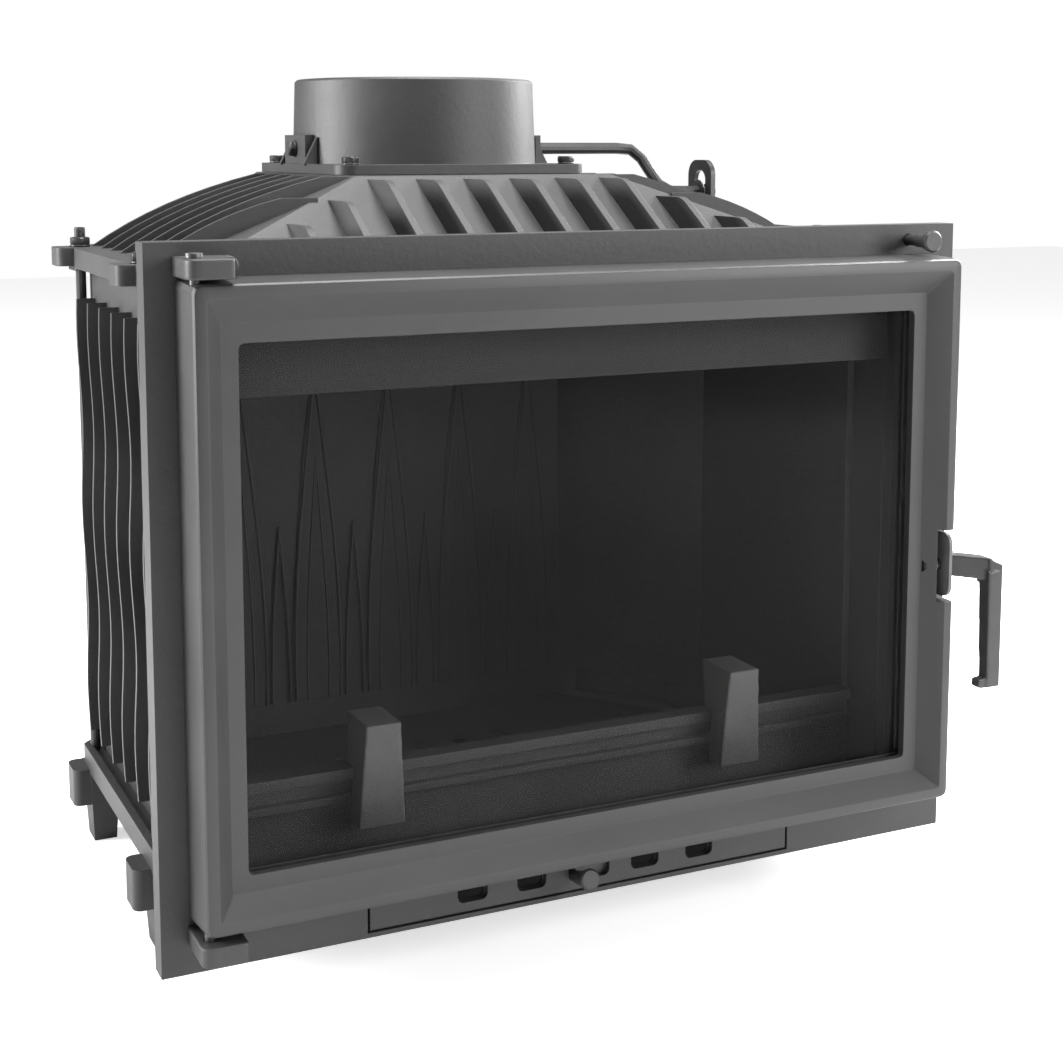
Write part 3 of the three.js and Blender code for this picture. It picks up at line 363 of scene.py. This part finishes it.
ROPE = RopeFinish("seal_rope", 0.055)
TAPE = CastFinish("gasket_tape", 0.05, roughness=0.9, grain=2200.0, swell=0.1)
PANE = PaneFinish("pane_glass")
SOOTED = CastFinish("sooted_coat", 0.012, spread=0.35, roughness=0.78, grain=800.0, swell=0.5)
STOPS = CastFinish("log_stop_coat", 0.062, spread=0.3, roughness=0.6, grain=850.0, swell=0.45)
PLATE = SteelFinish("latch_plate_coat", 0.11, roughness=0.42)

FINISH_OF_NODE = {
    CAST: ("front_plate", "base_casting", "right_side_wall", "left_side_wall", "back_wall",
           "hinge_bracket_top", "hinge_bracket_bottom", "air_panel", "flue_collar"),
    CAST_HOOD: ("top_casting",),
    CAST_DOOR: ("door_frame",),
    LINING: ("right_liner", "left_liner", "back_liner", "hearth_plate", "ash_grate", "hearth_rail",
             "smoke_baffle", "damper_disc"),
    SOOTED: ("air_deflector",),
    STOPS: ("log_guard_right", "log_guard_left"),
    BLACK_STEEL: ("damper_shaft", "pull_rod", "pull_knob", "handle", "air_knob", "ash_box"),
    WORN_STEEL: ("latch_plate", "latch_cam", "hinge_pin_top", "hinge_pin_bottom"),
    PRESSED: ("air_slider", "ash_pan", "latch_keeper", "glass_retainer_right", "glass_retainer_left",
              "glass_retainer_top", "glass_retainer_bottom"),
    FASTENER: ("tie_rod_front_right", "tie_rod_front_left", "tie_rod_rear_right", "tie_rod_rear_left",
               "tie_nut_front_right", "tie_nut_front_left", "tie_nut_rear_right", "tie_nut_rear_left"),
    ROPE: ("door_seal", "glass_seal"),
    PANE: ("door_glass",),
}


# ------------------------------------------------------------------ modelling calls
def deselect() -> None:
    """Leave edit mode and select nothing."""
    if bpy.context.object and bpy.context.object.mode != "OBJECT":
        bpy.ops.object.mode_set(mode="OBJECT")
    bpy.ops.object.select_all(action="DESELECT")


def activate(piece: bpy.types.Object) -> None:
    """Select one object alone and make it active.

    Args:
        piece: The object.
    """
    deselect()
    piece.select_set(True)
    bpy.context.view_layer.objects.active = piece


def settle(piece: bpy.types.Object) -> None:
    """Move an object's place, turn and scale into its mesh.

    Args:
        piece: The object.
    """
    activate(piece)
    bpy.ops.object.transform_apply(location=True, rotation=True, scale=True)


def pick_faces(piece: bpy.types.Object, test: Callable[[Vector, Vector], bool]) -> None:
    """Enter edit mode with only some faces selected.

    Args:
        piece: The mesh object.
        test: Takes a face's centre and normal and says whether it is wanted.
    """
    activate(piece)
    bpy.ops.object.mode_set(mode="EDIT")
    bpy.ops.mesh.select_mode(type="FACE")
    bpy.ops.mesh.select_all(action="DESELECT")
    mesh = bmesh.from_edit_mesh(piece.data)
    for face in mesh.faces:
        face.select = bool(test(face.calc_center_median(), face.normal))
    mesh.select_flush_mode()
    bmesh.update_edit_mesh(piece.data)


def point_along(piece: bpy.types.Object, axis: Axis, at: Vector) -> None:
    """Turn a piece built along +Z to point along an axis and put it in place.

    Args:
        piece: The object, built at the origin.
        axis: The way it is to point.
        at: Where its origin goes.
    """
    turn = Vector((0, 0, 1)).rotation_difference(Vector(axis.value))
    piece.matrix_world = Matrix.Translation(at) @ turn.to_matrix().to_4x4()
    settle(piece)


def shade(piece: bpy.types.Object, degrees: float = 35.0) -> None:
    """Shade a piece smooth but for its sharp edges.

    Args:
        piece: The mesh object.
        degrees: Edges sharper than this stay sharp.
    """
    activate(piece)
    bpy.ops.object.shade_smooth_by_angle(angle=math.radians(degrees))


def bevel(piece: bpy.types.Object, width: float, segments: int = 2, degrees: float = 30.0) -> None:
    """Round a piece's sharp edges with an applied modifier.

    Args:
        piece: The mesh object.
        width: The bevel's width.
        segments: Facets in the round.
        degrees: The least angle of an edge that is rounded.
    """
    activate(piece)
    rounder = piece.modifiers.new("round", "BEVEL")
    rounder.width = width
    rounder.segments = segments
    rounder.limit_method = "ANGLE"
    rounder.angle_limit = math.radians(degrees)
    bpy.ops.object.modifier_apply(modifier=rounder.name)


def join_pieces(name: str, *pieces: bpy.types.Object) -> bpy.types.Object:
    """Make one object of several.

    Args:
        name: The joined object's name.
        *pieces: The objects; the first one is kept.

    Returns:
        The joined object.
    """
    deselect()
    for piece in pieces:
        piece.select_set(True)
    bpy.context.view_layer.objects.active = pieces[0]
    bpy.ops.object.join()
    pieces[0].name = name
    return pieces[0]


def dress(piece: bpy.types.Object, material: bpy.types.Material) -> None:
    """Give a piece one material alone.

    Args:
        piece: The mesh object.
        material: Its only material.
    """
    piece.data.materials.clear()
    piece.data.materials.append(material)


def carry(piece: bpy.types.Object, body: Body, *nodes: str) -> None:
    """Let a piece ride on a body, and stand for nodes if any are named.

    Args:
        piece: The finished object, dressed in its one material.
        body: The moving group it belongs to.
        *nodes: Frame nodes that it replaces.
    """
    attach(piece, body.value)
    if nodes:
        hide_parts(*nodes)
    LOG.info("%s rides on %s%s", piece.name, body.value, f", for {', '.join(nodes)}" if nodes else "")


def turned(name: str, profile: list[tuple[float, float]], sides: int = 32) -> bpy.types.Object:
    """A turned piece about +Z: a disc drawn up in steps, each ring at its own radius.

    Args:
        name: The object's name.
        profile: Radius and height of each ring, from the foot up.
        sides: Facets round it.

    Returns:
        The closed piece at the origin.
    """
    deselect()
    first_radius, first_height = profile[0]
    bpy.ops.mesh.primitive_circle_add(vertices=sides, radius=first_radius, fill_type="NGON",
                                      location=(0, 0, first_height))
    piece = bpy.context.object
    piece.name = name
    settle(piece)
    bpy.ops.object.mode_set(mode="EDIT")
    bpy.ops.mesh.select_mode(type="FACE")
    bpy.ops.mesh.select_all(action="SELECT")
    for (radius, height), (wider, higher) in zip(profile, profile[1:]):
        bpy.ops.mesh.extrude_region_move(TRANSFORM_OT_translate={"value": (0, 0, higher - height)})
        grow = wider / radius
        bpy.ops.transform.resize(value=(grow, grow, 1), center_override=(0, 0, higher))
    bpy.ops.mesh.select_all(action="SELECT")
    bpy.ops.mesh.normals_make_consistent(inside=False)
    bpy.ops.object.mode_set(mode="OBJECT")
    return piece


# ------------------------------------------------------------------ fastenings
@dataclass
class HexNut:
    """A chamfered hexagon nut on a thin washer."""

    across: float = 15.6 * MM
    height: float = 8 * MM
    washer: float = 1.4 * MM

    def build(self, name: str, axis: Axis, at: Vector) -> bpy.types.Object:
        """Model the nut.

        Args:
            name: The object's name.
            axis: The way the nut's free face looks.
            at: The middle of its seat.

        Returns:
            The nut, in place.
        """
        corner = self.across / math.sqrt(3)
        cone = turned(name + "_chamfer", [(corner * 0.9, self.washer), (corner, self.washer + 1 * MM),
                                          (corner, self.height - 1.2 * MM), (corner * 0.86, self.height)])
        deselect()
        depth = self.height - self.washer
        bpy.ops.mesh.primitive_cylinder_add(vertices=6, radius=corner, depth=depth * 1.5,
                                            location=(0, 0, self.washer + depth / 2))
        hexagon = bpy.context.object
        settle(hexagon)
        activate(cone)
        clip = cone.modifiers.new("flats", "BOOLEAN")
        clip.operation = "INTERSECT"
        clip.object = hexagon
        bpy.ops.object.modifier_apply(modifier=clip.name)
        bpy.data.objects.remove(hexagon)
        ring = turned(name + "_washer", [(self.across * 0.56, 0.0), (self.across * 0.56, self.washer)])
        bevel(ring, 0.3 * MM)
        nut = join_pieces(name, cone, ring)
        bevel(nut, 0.25 * MM, 1, 40)
        shade(nut)
        point_along(nut, axis, at)
        return nut


@dataclass
class PanScrew:
    """A low domed screw with a hexagon socket."""

    radius: float = 4 * MM
    height: float = 2.6 * MM
    socket: float = 1.7 * MM

    def build(self, name: str, axis: Axis, at: Vector) -> bpy.types.Object:
        """Model the screw's head.

        Args:
            name: The object's name.
            axis: The way the head looks.
            at: The middle of its seat.

        Returns:
            The head, in place.
        """
        r, h = self.radius, self.height
        head = turned(name, [(r * 0.96, 0), (r, h * 0.18), (r * 0.97, h * 0.5), (r * 0.84, h * 0.82),
                             (r * 0.62, h), (self.socket, h)], 24)
        pick_faces(head, lambda centre, normal: centre.z > h * 0.99 and centre.xy.length < 0.1 * MM)
        bpy.ops.mesh.extrude_region_move(TRANSFORM_OT_translate={"value": (0, 0, -h * 0.55)})
        bpy.ops.transform.resize(value=(0.8, 0.8, 1), center_override=(0, 0, h * 0.45))
        bpy.ops.object.mode_set(mode="OBJECT")
        shade(head, 50)
        point_along(head, axis, at)
        return head


def span_of(node: str) -> tuple[Vector, Vector]:
    """The lowest and highest corner of a frame node.

    Args:
        node: The node's name.

    Returns:
        Both corners.
    """
    low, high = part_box(node)
    return Vector(low), Vector(high)


def copy_of(node: str, name: str) -> bpy.types.Object:
    """A merged copy of a frame node, ready to be finished by modifiers.

    Args:
        node: The frame node.
        name: The copy's name.

    Returns:
        The copy, at the origin.
    """
    piece = bpy.data.objects.new(name, FRAME["nodes"][node].data.copy())
    bpy.context.scene.collection.objects.link(piece)
    activate(piece)
    bpy.ops.object.mode_set(mode="EDIT")
    bpy.ops.mesh.select_all(action="SELECT")
    bpy.ops.mesh.remove_doubles(threshold=0.02 * MM)
    bpy.ops.object.mode_set(mode="OBJECT")
    if piece.data.has_custom_normals:
        bpy.ops.mesh.customdata_custom_splitnormals_clear()
    return piece


def eased_copy(node: str, name: str, degrees: float = 32.0) -> bpy.types.Object:
    """A copy of a node whose curved faces are shaded smooth.

    Args:
        node: The frame node.
        name: The copy's name.
        degrees: Edges sharper than this stay sharp.

    Returns:
        The copy.
    """
    piece = copy_of(node, name)
    shade(piece, degrees)
    return piece


def forged_copy(node: str, name: str, voxel: float, rounds: int) -> bpy.types.Object:
    """A copy of a node with all its edges worn round, as on a forged or sand-cast piece.

    Args:
        node: The frame node.
        name: The copy's name.
        voxel: The remesh's cell.
        rounds: Smoothing passes.

    Returns:
        The copy.
    """
    piece = copy_of(node, name)
    cells = piece.modifiers.new("cells", "REMESH")
    cells.mode = "VOXEL"
    cells.voxel_size = voxel
    cells.use_smooth_shade = True
    bpy.ops.object.modifier_apply(modifier=cells.name)
    ease = piece.modifiers.new("ease", "SMOOTH")
    ease.factor = 0.5
    ease.iterations = rounds
    bpy.ops.object.modifier_apply(modifier=ease.name)
    bpy.ops.object.shade_smooth()
    return piece


class Palette:
    """Every finish of the insert, each built once."""

    def __init__(self) -> None:
        """Start with no material built."""
        self.built: dict[str, bpy.types.Material] = {}

    def of(self, finish: Finish) -> bpy.types.Material:
        """The material of a finish, built when first asked for.

        Args:
            finish: The finish.

        Returns:
            Its one material.
        """
        if finish.name not in self.built:
            self.built[finish.name] = finish.material()
        return self.built[finish.name]

    def dress_frame(self, nodes: dict[str, bpy.types.Object]) -> None:
        """Give every frame node its finish.

        Args:
            nodes: The frame's nodes by name.
        """
        for finish, names in FINISH_OF_NODE.items():
            for name in names:
                node = nodes[name]
                if not node.data.materials:
                    node.data.materials.append(self.of(finish))
                for place in node.material_slots:
                    place.material = self.of(finish)
                LOG.info("%s takes %s", name, finish.name)


# ------------------------------------------------------------------ sub-assemblies
@dataclass
class Casing:
    """The castings that stand still, with their nuts and bolts."""

    palette: Palette
    bolt_inset: float = 15 * MM
    thread_pitch: float = 1.25 * MM
    jamb_low: tuple[float, float, float] = (0.2935, -0.3565, 0.0875)
    jamb_high: tuple[float, float, float] = (0.2985, -0.3365, 0.5195)
    flange_half: float = 118 * MM
    flange_top: float = 613.8 * MM
    thread_root: float = 4.55 * MM
    thread_crest: float = 4.9 * MM
    thread_tip: float = 3.9 * MM
    smooth: tuple[str, ...] = ("top_casting", "flue_collar", "right_side_wall", "left_side_wall")

    def build(self) -> None:
        """Model and place the casing's pieces."""
        for node in self.smooth:
            piece = eased_copy(node, node + "_skin", 40 if node != "top_casting" else 28)
            dress(piece, self.palette.of(CAST_HOOD if node == "top_casting" else CAST))
            carry(piece, Body.CASING, node)
        for side in ("top", "bottom"):
            arm = forged_copy(f"hinge_bracket_{side}", f"hinge_arm_{side}", 0.9 * MM, 6)
            dress(arm, self.palette.of(CAST))
            carry(arm, Body.CASING, f"hinge_bracket_{side}")
            pin = eased_copy(f"hinge_pin_{side}", f"hinge_stud_{side}")
            dress(pin, self.palette.of(WORN_STEEL))
            carry(pin, Body.CASING, f"hinge_pin_{side}")
        self.close_jambs()
        self.fasten_roof()
        self.bolt_flange()

    def close_jambs(self) -> None:
        """Fill the upright slot between the front plate and each side wall with a cast lip."""
        low, high = Vector(self.jamb_low), Vector(self.jamb_high)
        for side, sign in (("right", 1), ("left", -1)):
            deselect()
            bpy.ops.mesh.primitive_cube_add(size=1)
            lip = bpy.context.object
            lip.name = f"jamb_lip_{side}"
            lip.scale = high - low
            middle = (low + high) / 2
            lip.location = (sign * middle.x, middle.y, middle.z)
            settle(lip)
            bevel(lip, 0.6 * MM)
            dress(lip, self.palette.of(CAST))
            carry(lip, Body.CASING)

    def fasten_roof(self) -> None:
        """Put a hexagon nut and a stretch of thread on each tie rod."""
        for where in ("front", "rear"):
            for side in ("right", "left"):
                low, high = span_of(f"tie_nut_{where}_{side}")
                seat = Vector(((low.x + high.x) / 2, (low.y + high.y) / 2, low.z))
                nut = HexNut(height=high.z - low.z).build(f"roof_nut_{where}_{side}", Axis.UP, seat)
                dress(nut, self.palette.of(FASTENER))
                carry(nut, Body.CASING, f"tie_nut_{where}_{side}")
                top = span_of(f"tie_rod_{where}_{side}")[1].z
                thread = self.thread(f"stud_thread_{where}_{side}", top - high.z)
                point_along(thread, Axis.UP, Vector((seat.x, seat.y, high.z)))
                dress(thread, self.palette.of(FASTENER))
                carry(thread, Body.CASING)

    def thread(self, name: str, length: float) -> bpy.types.Object:
        """A stretch of thread as closely set rings.

        Args:
            name: The object's name.
            length: How much of it shows.

        Returns:
            The thread, standing at the origin.
        """
        turns = int(length / self.thread_pitch)
        profile = []
        for turn in range(turns):
            foot = turn * self.thread_pitch
            profile += [(self.thread_root, foot), (self.thread_crest, foot + 0.5 * self.thread_pitch)]
        profile += [(self.thread_root, turns * self.thread_pitch), (self.thread_tip, length)]
        piece = turned(name, profile, 20)
        shade(piece, 50)
        return piece

    def bolt_flange(self) -> None:
        """Bolt the flue collar's flange to the hood at its four corners."""
        low, high = span_of("flue_collar")
        number = 0
        for x in (self.bolt_inset - self.flange_half, self.flange_half - self.bolt_inset):
            for y in (low.y + self.bolt_inset, high.y - self.bolt_inset):
                number += 1
                bolt = HexNut(across=13 * MM, height=7 * MM).build(
                    f"flange_bolt_{number}", Axis.UP, Vector((x, y, self.flange_top)))
                dress(bolt, self.palette.of(FASTENER))
                carry(bolt, Body.CASING)


@dataclass
class Damper:
    """Damper disc, its cranked shaft and the pull rod's eye."""

    palette: Palette
    pin: Vector = field(default_factory=lambda: Vector((0.2992, -0.031, 0.585)))
    shaft_end: Vector = field(default_factory=lambda: Vector((-0.1171, 0, 0.6274)))
    washer_radius: float = 11.5 * MM
    crank_thickness: float = 8.4 * MM
    skins: tuple[tuple[str, Finish, Body], ...] = (
        ("damper_disc", LINING, Body.DAMPER),
        ("damper_shaft", BLACK_STEEL, Body.DAMPER),
        ("pull_rod", BLACK_STEEL, Body.PULL_ROD),
        ("pull_knob", BLACK_STEEL, Body.PULL_ROD),
    )

    def build(self) -> None:
        """Model and place the damper's pieces."""
        for node, finish, body in self.skins:
            piece = eased_copy(node, node + "_skin")
            dress(piece, self.palette.of(finish))
            carry(piece, body, node)
        nut = HexNut(across=14 * MM, height=7 * MM, washer=2 * MM).build(
            "crank_end_nut", Axis.RIGHT, self.pin)
        washer = turned("crank_washer", [(self.washer_radius, 0), (self.washer_radius, 2 * MM)], 28)
        bevel(washer, 0.4 * MM)
        shade(washer)
        point_along(washer, Axis.LEFT, self.pin - Vector((self.crank_thickness, 0, 0)))
        end = HexNut(across=13 * MM, height=6.4 * MM, washer=1.6 * MM).build(
            "shaft_end_nut", Axis.LEFT, self.shaft_end)
        for piece in (nut, washer, end):
            dress(piece, self.palette.of(BLACK_STEEL))
            carry(piece, Body.DAMPER)


@dataclass
class Door:
    """Door frame, the tape round its pane and its rope seal."""

    palette: Palette
    seal_half: float = 297.75 * MM
    seal_low: float = 104.6 * MM
    seal_high: float = 519.6 * MM
    seal_depth: float = -369 * MM
    rope_radius: float = 3.65 * MM

    def build(self) -> None:
        """Model and place the door's pieces."""
        frame = eased_copy("door_frame", "door_frame_skin", 22)
        dress(frame, self.palette.of(CAST_DOOR))
        carry(frame, Body.DOOR, "door_frame")
        tape = copy_of("glass_seal", "glass_tape")
        dress(tape, self.palette.of(TAPE))
        carry(tape, Body.DOOR, "glass_seal")
        rope = self.rope_loop("door_rope")
        dress(rope, self.palette.of(ROPE))
        carry(rope, Body.DOOR, "door_seal")

    def rope_loop(self, name: str) -> bpy.types.Object:
        """A closed rope laid in the door's groove.

        Args:
            name: The object's name.

        Returns:
            The rope as a mesh with the curve's own UV map.
        """
        deselect()
        bpy.ops.mesh.primitive_plane_add(size=1, location=(0, 0, 0))
        loop = bpy.context.object
        loop.name = name
        loop.scale = (2 * self.seal_half, self.seal_high - self.seal_low, 1)
        settle(loop)
        bpy.ops.object.mode_set(mode="EDIT")
        bpy.ops.mesh.select_all(action="SELECT")
        bpy.ops.mesh.bevel(affect="VERTICES", offset=9 * MM, segments=6)
        bpy.ops.mesh.select_all(action="SELECT")
        bpy.ops.mesh.delete(type="ONLY_FACE")
        bpy.ops.object.mode_set(mode="OBJECT")
        loop.rotation_euler = (math.pi / 2, 0, 0)
        loop.location = (0, self.seal_depth, (self.seal_low + self.seal_high) / 2)
        settle(loop)
        bpy.ops.object.convert(target="CURVE")
        loop = bpy.context.object
        loop.data.bevel_depth = self.rope_radius
        loop.data.bevel_resolution = 3
        bpy.ops.object.convert(target="MESH")
        loop = bpy.context.object
        shade(loop, 60)
        return loop


@dataclass
class Latch:
    """Handle, its plate and the plate's screw."""

    palette: Palette
    screw_y: float = -388 * MM
    screw_z: float = 265 * MM

    def build(self) -> None:
        """Model and place the latch's pieces."""
        grip = forged_copy("handle", "handle_grip", 0.8 * MM, 7)
        dress(grip, self.palette.of(BLACK_STEEL))
        carry(grip, Body.HANDLE, "handle")
        high = span_of("latch_plate")[1]
        rivet = PanScrew(radius=3.6 * MM, height=2 * MM, socket=1.4 * MM).build(
            "latch_screw", Axis.RIGHT, Vector((high.x, self.screw_y, self.screw_z)))
        dress(rivet, self.palette.of(FASTENER))
        carry(rivet, Body.DOOR)
        plate = eased_copy("latch_plate", "latch_plate_skin")
        dress(plate, self.palette.of(PLATE))
        carry(plate, Body.DOOR, "latch_plate")


@dataclass
class Register:
    """The air register's knob."""

    palette: Palette

    def build(self) -> None:
        """Place the register's knob."""
        knob = eased_copy("air_knob", "air_knob_skin")
        dress(knob, self.palette.of(BLACK_STEEL))
        carry(knob, Body.REGISTER, "air_knob")


@dataclass
class Firebox:
    """Lining: the back plate's flame pattern and the log guards."""

    palette: Palette
    pitch: float = 76.5 * MM
    face: float = 77.3 * MM
    foot: float = 83 * MM
    leaves: int = 5
    tall: tuple[tuple[float, float, float], ...] = (
        (23 * MM, 415 * MM, 1.5 * MM), (11 * MM, 330 * MM, 1.0 * MM))
    small: tuple[float, float, float] = (9 * MM, 260 * MM, 1.2 * MM)

    def build(self) -> None:
        """Model and place the lining's pieces."""
        for side in ("right", "left"):
            guard = forged_copy(f"log_guard_{side}", f"log_stop_{side}", 1.1 * MM, 5)
            dress(guard, self.palette.of(STOPS))
            carry(guard, Body.CASING, f"log_guard_{side}")
        for index in range(self.leaves):
            centre = (index - self.leaves // 2) * self.pitch
            for half, tip, radius in self.tall:
                self.leaf(f"flame_{index + 1}_{round(half / MM)}", centre, half, tip, radius)
            if index < self.leaves - 1:
                self.leaf(f"flame_small_{index + 1}", centre + self.pitch / 2, *self.small)

    def leaf(self, name: str, centre: float, half: float, tip: float, radius: float) -> None:
        """A pointed outline raised on the back plate.

        Args:
            name: The object's name.
            centre: Its middle across.
            half: Half its width at the foot.
            tip: The height of its point.
            radius: Half the ridge's thickness.
        """
        deselect()
        bpy.ops.curve.primitive_bezier_curve_add(location=(0, 0, 0))
        ridge = bpy.context.object
        ridge.name = name
        line = ridge.data.splines[0]
        line.bezier_points.add(1)
        rise = tip - self.foot
        stations = [((-half, 0.0), (-half * 1.15, rise * 0.42)), ((0.0, rise), (0.0, rise)),
                    ((half, 0.0), (half * 1.15, rise * 0.42))]
        for place, (point, pull) in zip(line.bezier_points, stations):
            place.handle_left_type = place.handle_right_type = "FREE"
            at = Vector((centre + point[0], self.face, self.foot + point[1]))
            place.co = at
            reach = Vector((centre + pull[0], self.face, self.foot + pull[1]))
            place.handle_left = place.handle_right = reach
        line.bezier_points[1].handle_left = Vector((centre - half * 0.35, self.face, tip - rise * 0.28))
        line.bezier_points[1].handle_right = Vector((centre + half * 0.35, self.face, tip - rise * 0.28))
        line.resolution_u = 12
        ridge.data.dimensions = "3D"
        ridge.data.bevel_depth = radius
        ridge.data.bevel_resolution = 2
        ridge.data.use_fill_caps = True
        activate(ridge)
        bpy.ops.object.convert(target="MESH")
        ridge = bpy.context.object
        shade(ridge, 60)
        dress(ridge, self.palette.of(LINING))
        carry(ridge, Body.CASING)


# ------------------------------------------------------------------ studio
@dataclass
class Studio:
    """Camera, lamps, world and the pale floor."""

    camera_at: Vector = field(default_factory=lambda: Vector((-0.6041, -1.5417, 0.6311)))
    yaw: float = -25.2
    pitch: float = 6.9
    lens: float = 59.2
    shift: float = -0.165
    floor_size: float = 14.0
    world_light: float = 0.3
    lamp_aim: Vector = field(default_factory=lambda: Vector((0, -0.15, 0.35)))

    def build(self) -> None:
        """Set up the whole studio."""
        self.place_camera()
        self.lay_floor()
        self.light_world()
        self.hang_lamps()
        bpy.context.scene.view_settings.view_transform = "Standard"

    def place_camera(self) -> None:
        """Put the camera where the photograph was taken from."""
        data = bpy.data.cameras.new("camera")
        camera = bpy.data.objects.new("camera", data)
        bpy.context.scene.collection.objects.link(camera)
        camera.location = self.camera_at
        camera.rotation_euler = (math.radians(90 - self.pitch), 0, math.radians(self.yaw))
        data.sensor_width = 36
        data.lens = self.lens
        data.shift_y = self.shift
        bpy.context.scene.camera = camera

    def lay_floor(self) -> None:
        """Lay a pale floor that keeps the object's shadow."""
        deselect()
        bpy.ops.mesh.primitive_plane_add(size=self.floor_size, location=(0, 0, -0.4 * MM))
        floor = bpy.context.object
        floor.name = "floor"
        settle(floor)
        sheet = Sheet("floor_paint")
        path = sheet.node("LightPath")
        paint = sheet.node("BsdfDiffuse", Color=(0.82, 0.82, 0.82, 1))
        glow = sheet.node("Emission", Color=(1, 1, 1, 1), Strength=0.62)
        both = sheet.node("AddShader")
        bare = sheet.node("MixShader")
        sheet.join(paint.outputs["BSDF"], both.inputs[0])
        sheet.join(glow.outputs["Emission"], both.inputs[1])
        sheet.join(path.outputs["Is Camera Ray"], bare.inputs["Fac"])
        sheet.join(paint.outputs["BSDF"], bare.inputs[1])
        sheet.join(both.outputs["Shader"], bare.inputs[2])
        sheet.join(bare.outputs["Shader"], sheet.output.inputs["Surface"])
        dress(floor, sheet.material)

    def light_world(self) -> None:
        """A plain soft white world: bright to the eye, gentler on the object."""
        world = bpy.data.worlds.new("world")
        world.use_nodes = True
        nodes, links = world.node_tree.nodes, world.node_tree.links
        nodes.clear()
        output = nodes.new("ShaderNodeOutputWorld")
        path = nodes.new("ShaderNodeLightPath")
        soft = nodes.new("ShaderNodeBackground")
        soft.inputs["Color"].default_value = (1, 1, 1, 1)
        soft.inputs["Strength"].default_value = self.world_light
        seen = nodes.new("ShaderNodeBackground")
        seen.inputs["Color"].default_value = (1, 1, 1, 1)
        seen.inputs["Strength"].default_value = 1.0
        mix = nodes.new("ShaderNodeMixShader")
        links.new(path.outputs["Is Camera Ray"], mix.inputs["Fac"])
        links.new(soft.outputs["Background"], mix.inputs[1])
        links.new(seen.outputs["Background"], mix.inputs[2])
        links.new(mix.outputs["Shader"], output.inputs["Surface"])
        bpy.context.scene.world = world

    def hang_lamps(self) -> None:
        """Hang the large soft lamps round the object."""
        for name, at, size, power in (
            ("right_rear_lamp", Vector((2.4, 0.5, 1.5)), 1.5, 150.0),
            ("left_rear_lamp", Vector((-2.5, 0.7, 1.1)), 1.4, 140.0),
            ("top_lamp", Vector((0.1, -0.3, 2.8)), 1.8, 130.0),
            ("right_front_lamp", Vector((1.8, -2.4, 1.3)), 1.6, 75.0),
        ):
            data = bpy.data.lights.new(name, "AREA")
            data.shape = "DISK"
            data.size = size
            data.energy = power
            lamp = bpy.data.objects.new(name, data)
            bpy.context.scene.collection.objects.link(lamp)
            lamp.location = at
            aim = self.lamp_aim - at
            lamp.rotation_mode = "QUATERNION"
            lamp.rotation_quaternion = aim.to_track_quat("-Z", "Y")


def main() -> None:
    """Dress the frame, build every sub-assembly and set up the studio."""
    logging.basicConfig(level=logging.INFO, format="%(name)s: %(message)s")
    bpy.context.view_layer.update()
    deselect()
    Studio().build()
    palette = Palette()
    palette.dress_frame(FRAME["nodes"])
    for part in (Casing, Damper, Door, Latch, Register, Firebox):
        part(palette).build()
        LOG.info("%s is done", part.__name__)


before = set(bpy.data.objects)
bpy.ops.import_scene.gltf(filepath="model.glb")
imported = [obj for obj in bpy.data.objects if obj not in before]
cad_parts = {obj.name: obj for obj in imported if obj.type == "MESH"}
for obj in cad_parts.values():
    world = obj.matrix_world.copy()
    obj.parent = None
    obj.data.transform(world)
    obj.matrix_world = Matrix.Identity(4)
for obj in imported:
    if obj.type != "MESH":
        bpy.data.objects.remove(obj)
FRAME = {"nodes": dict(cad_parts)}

if __name__ == "__main__":
    main()
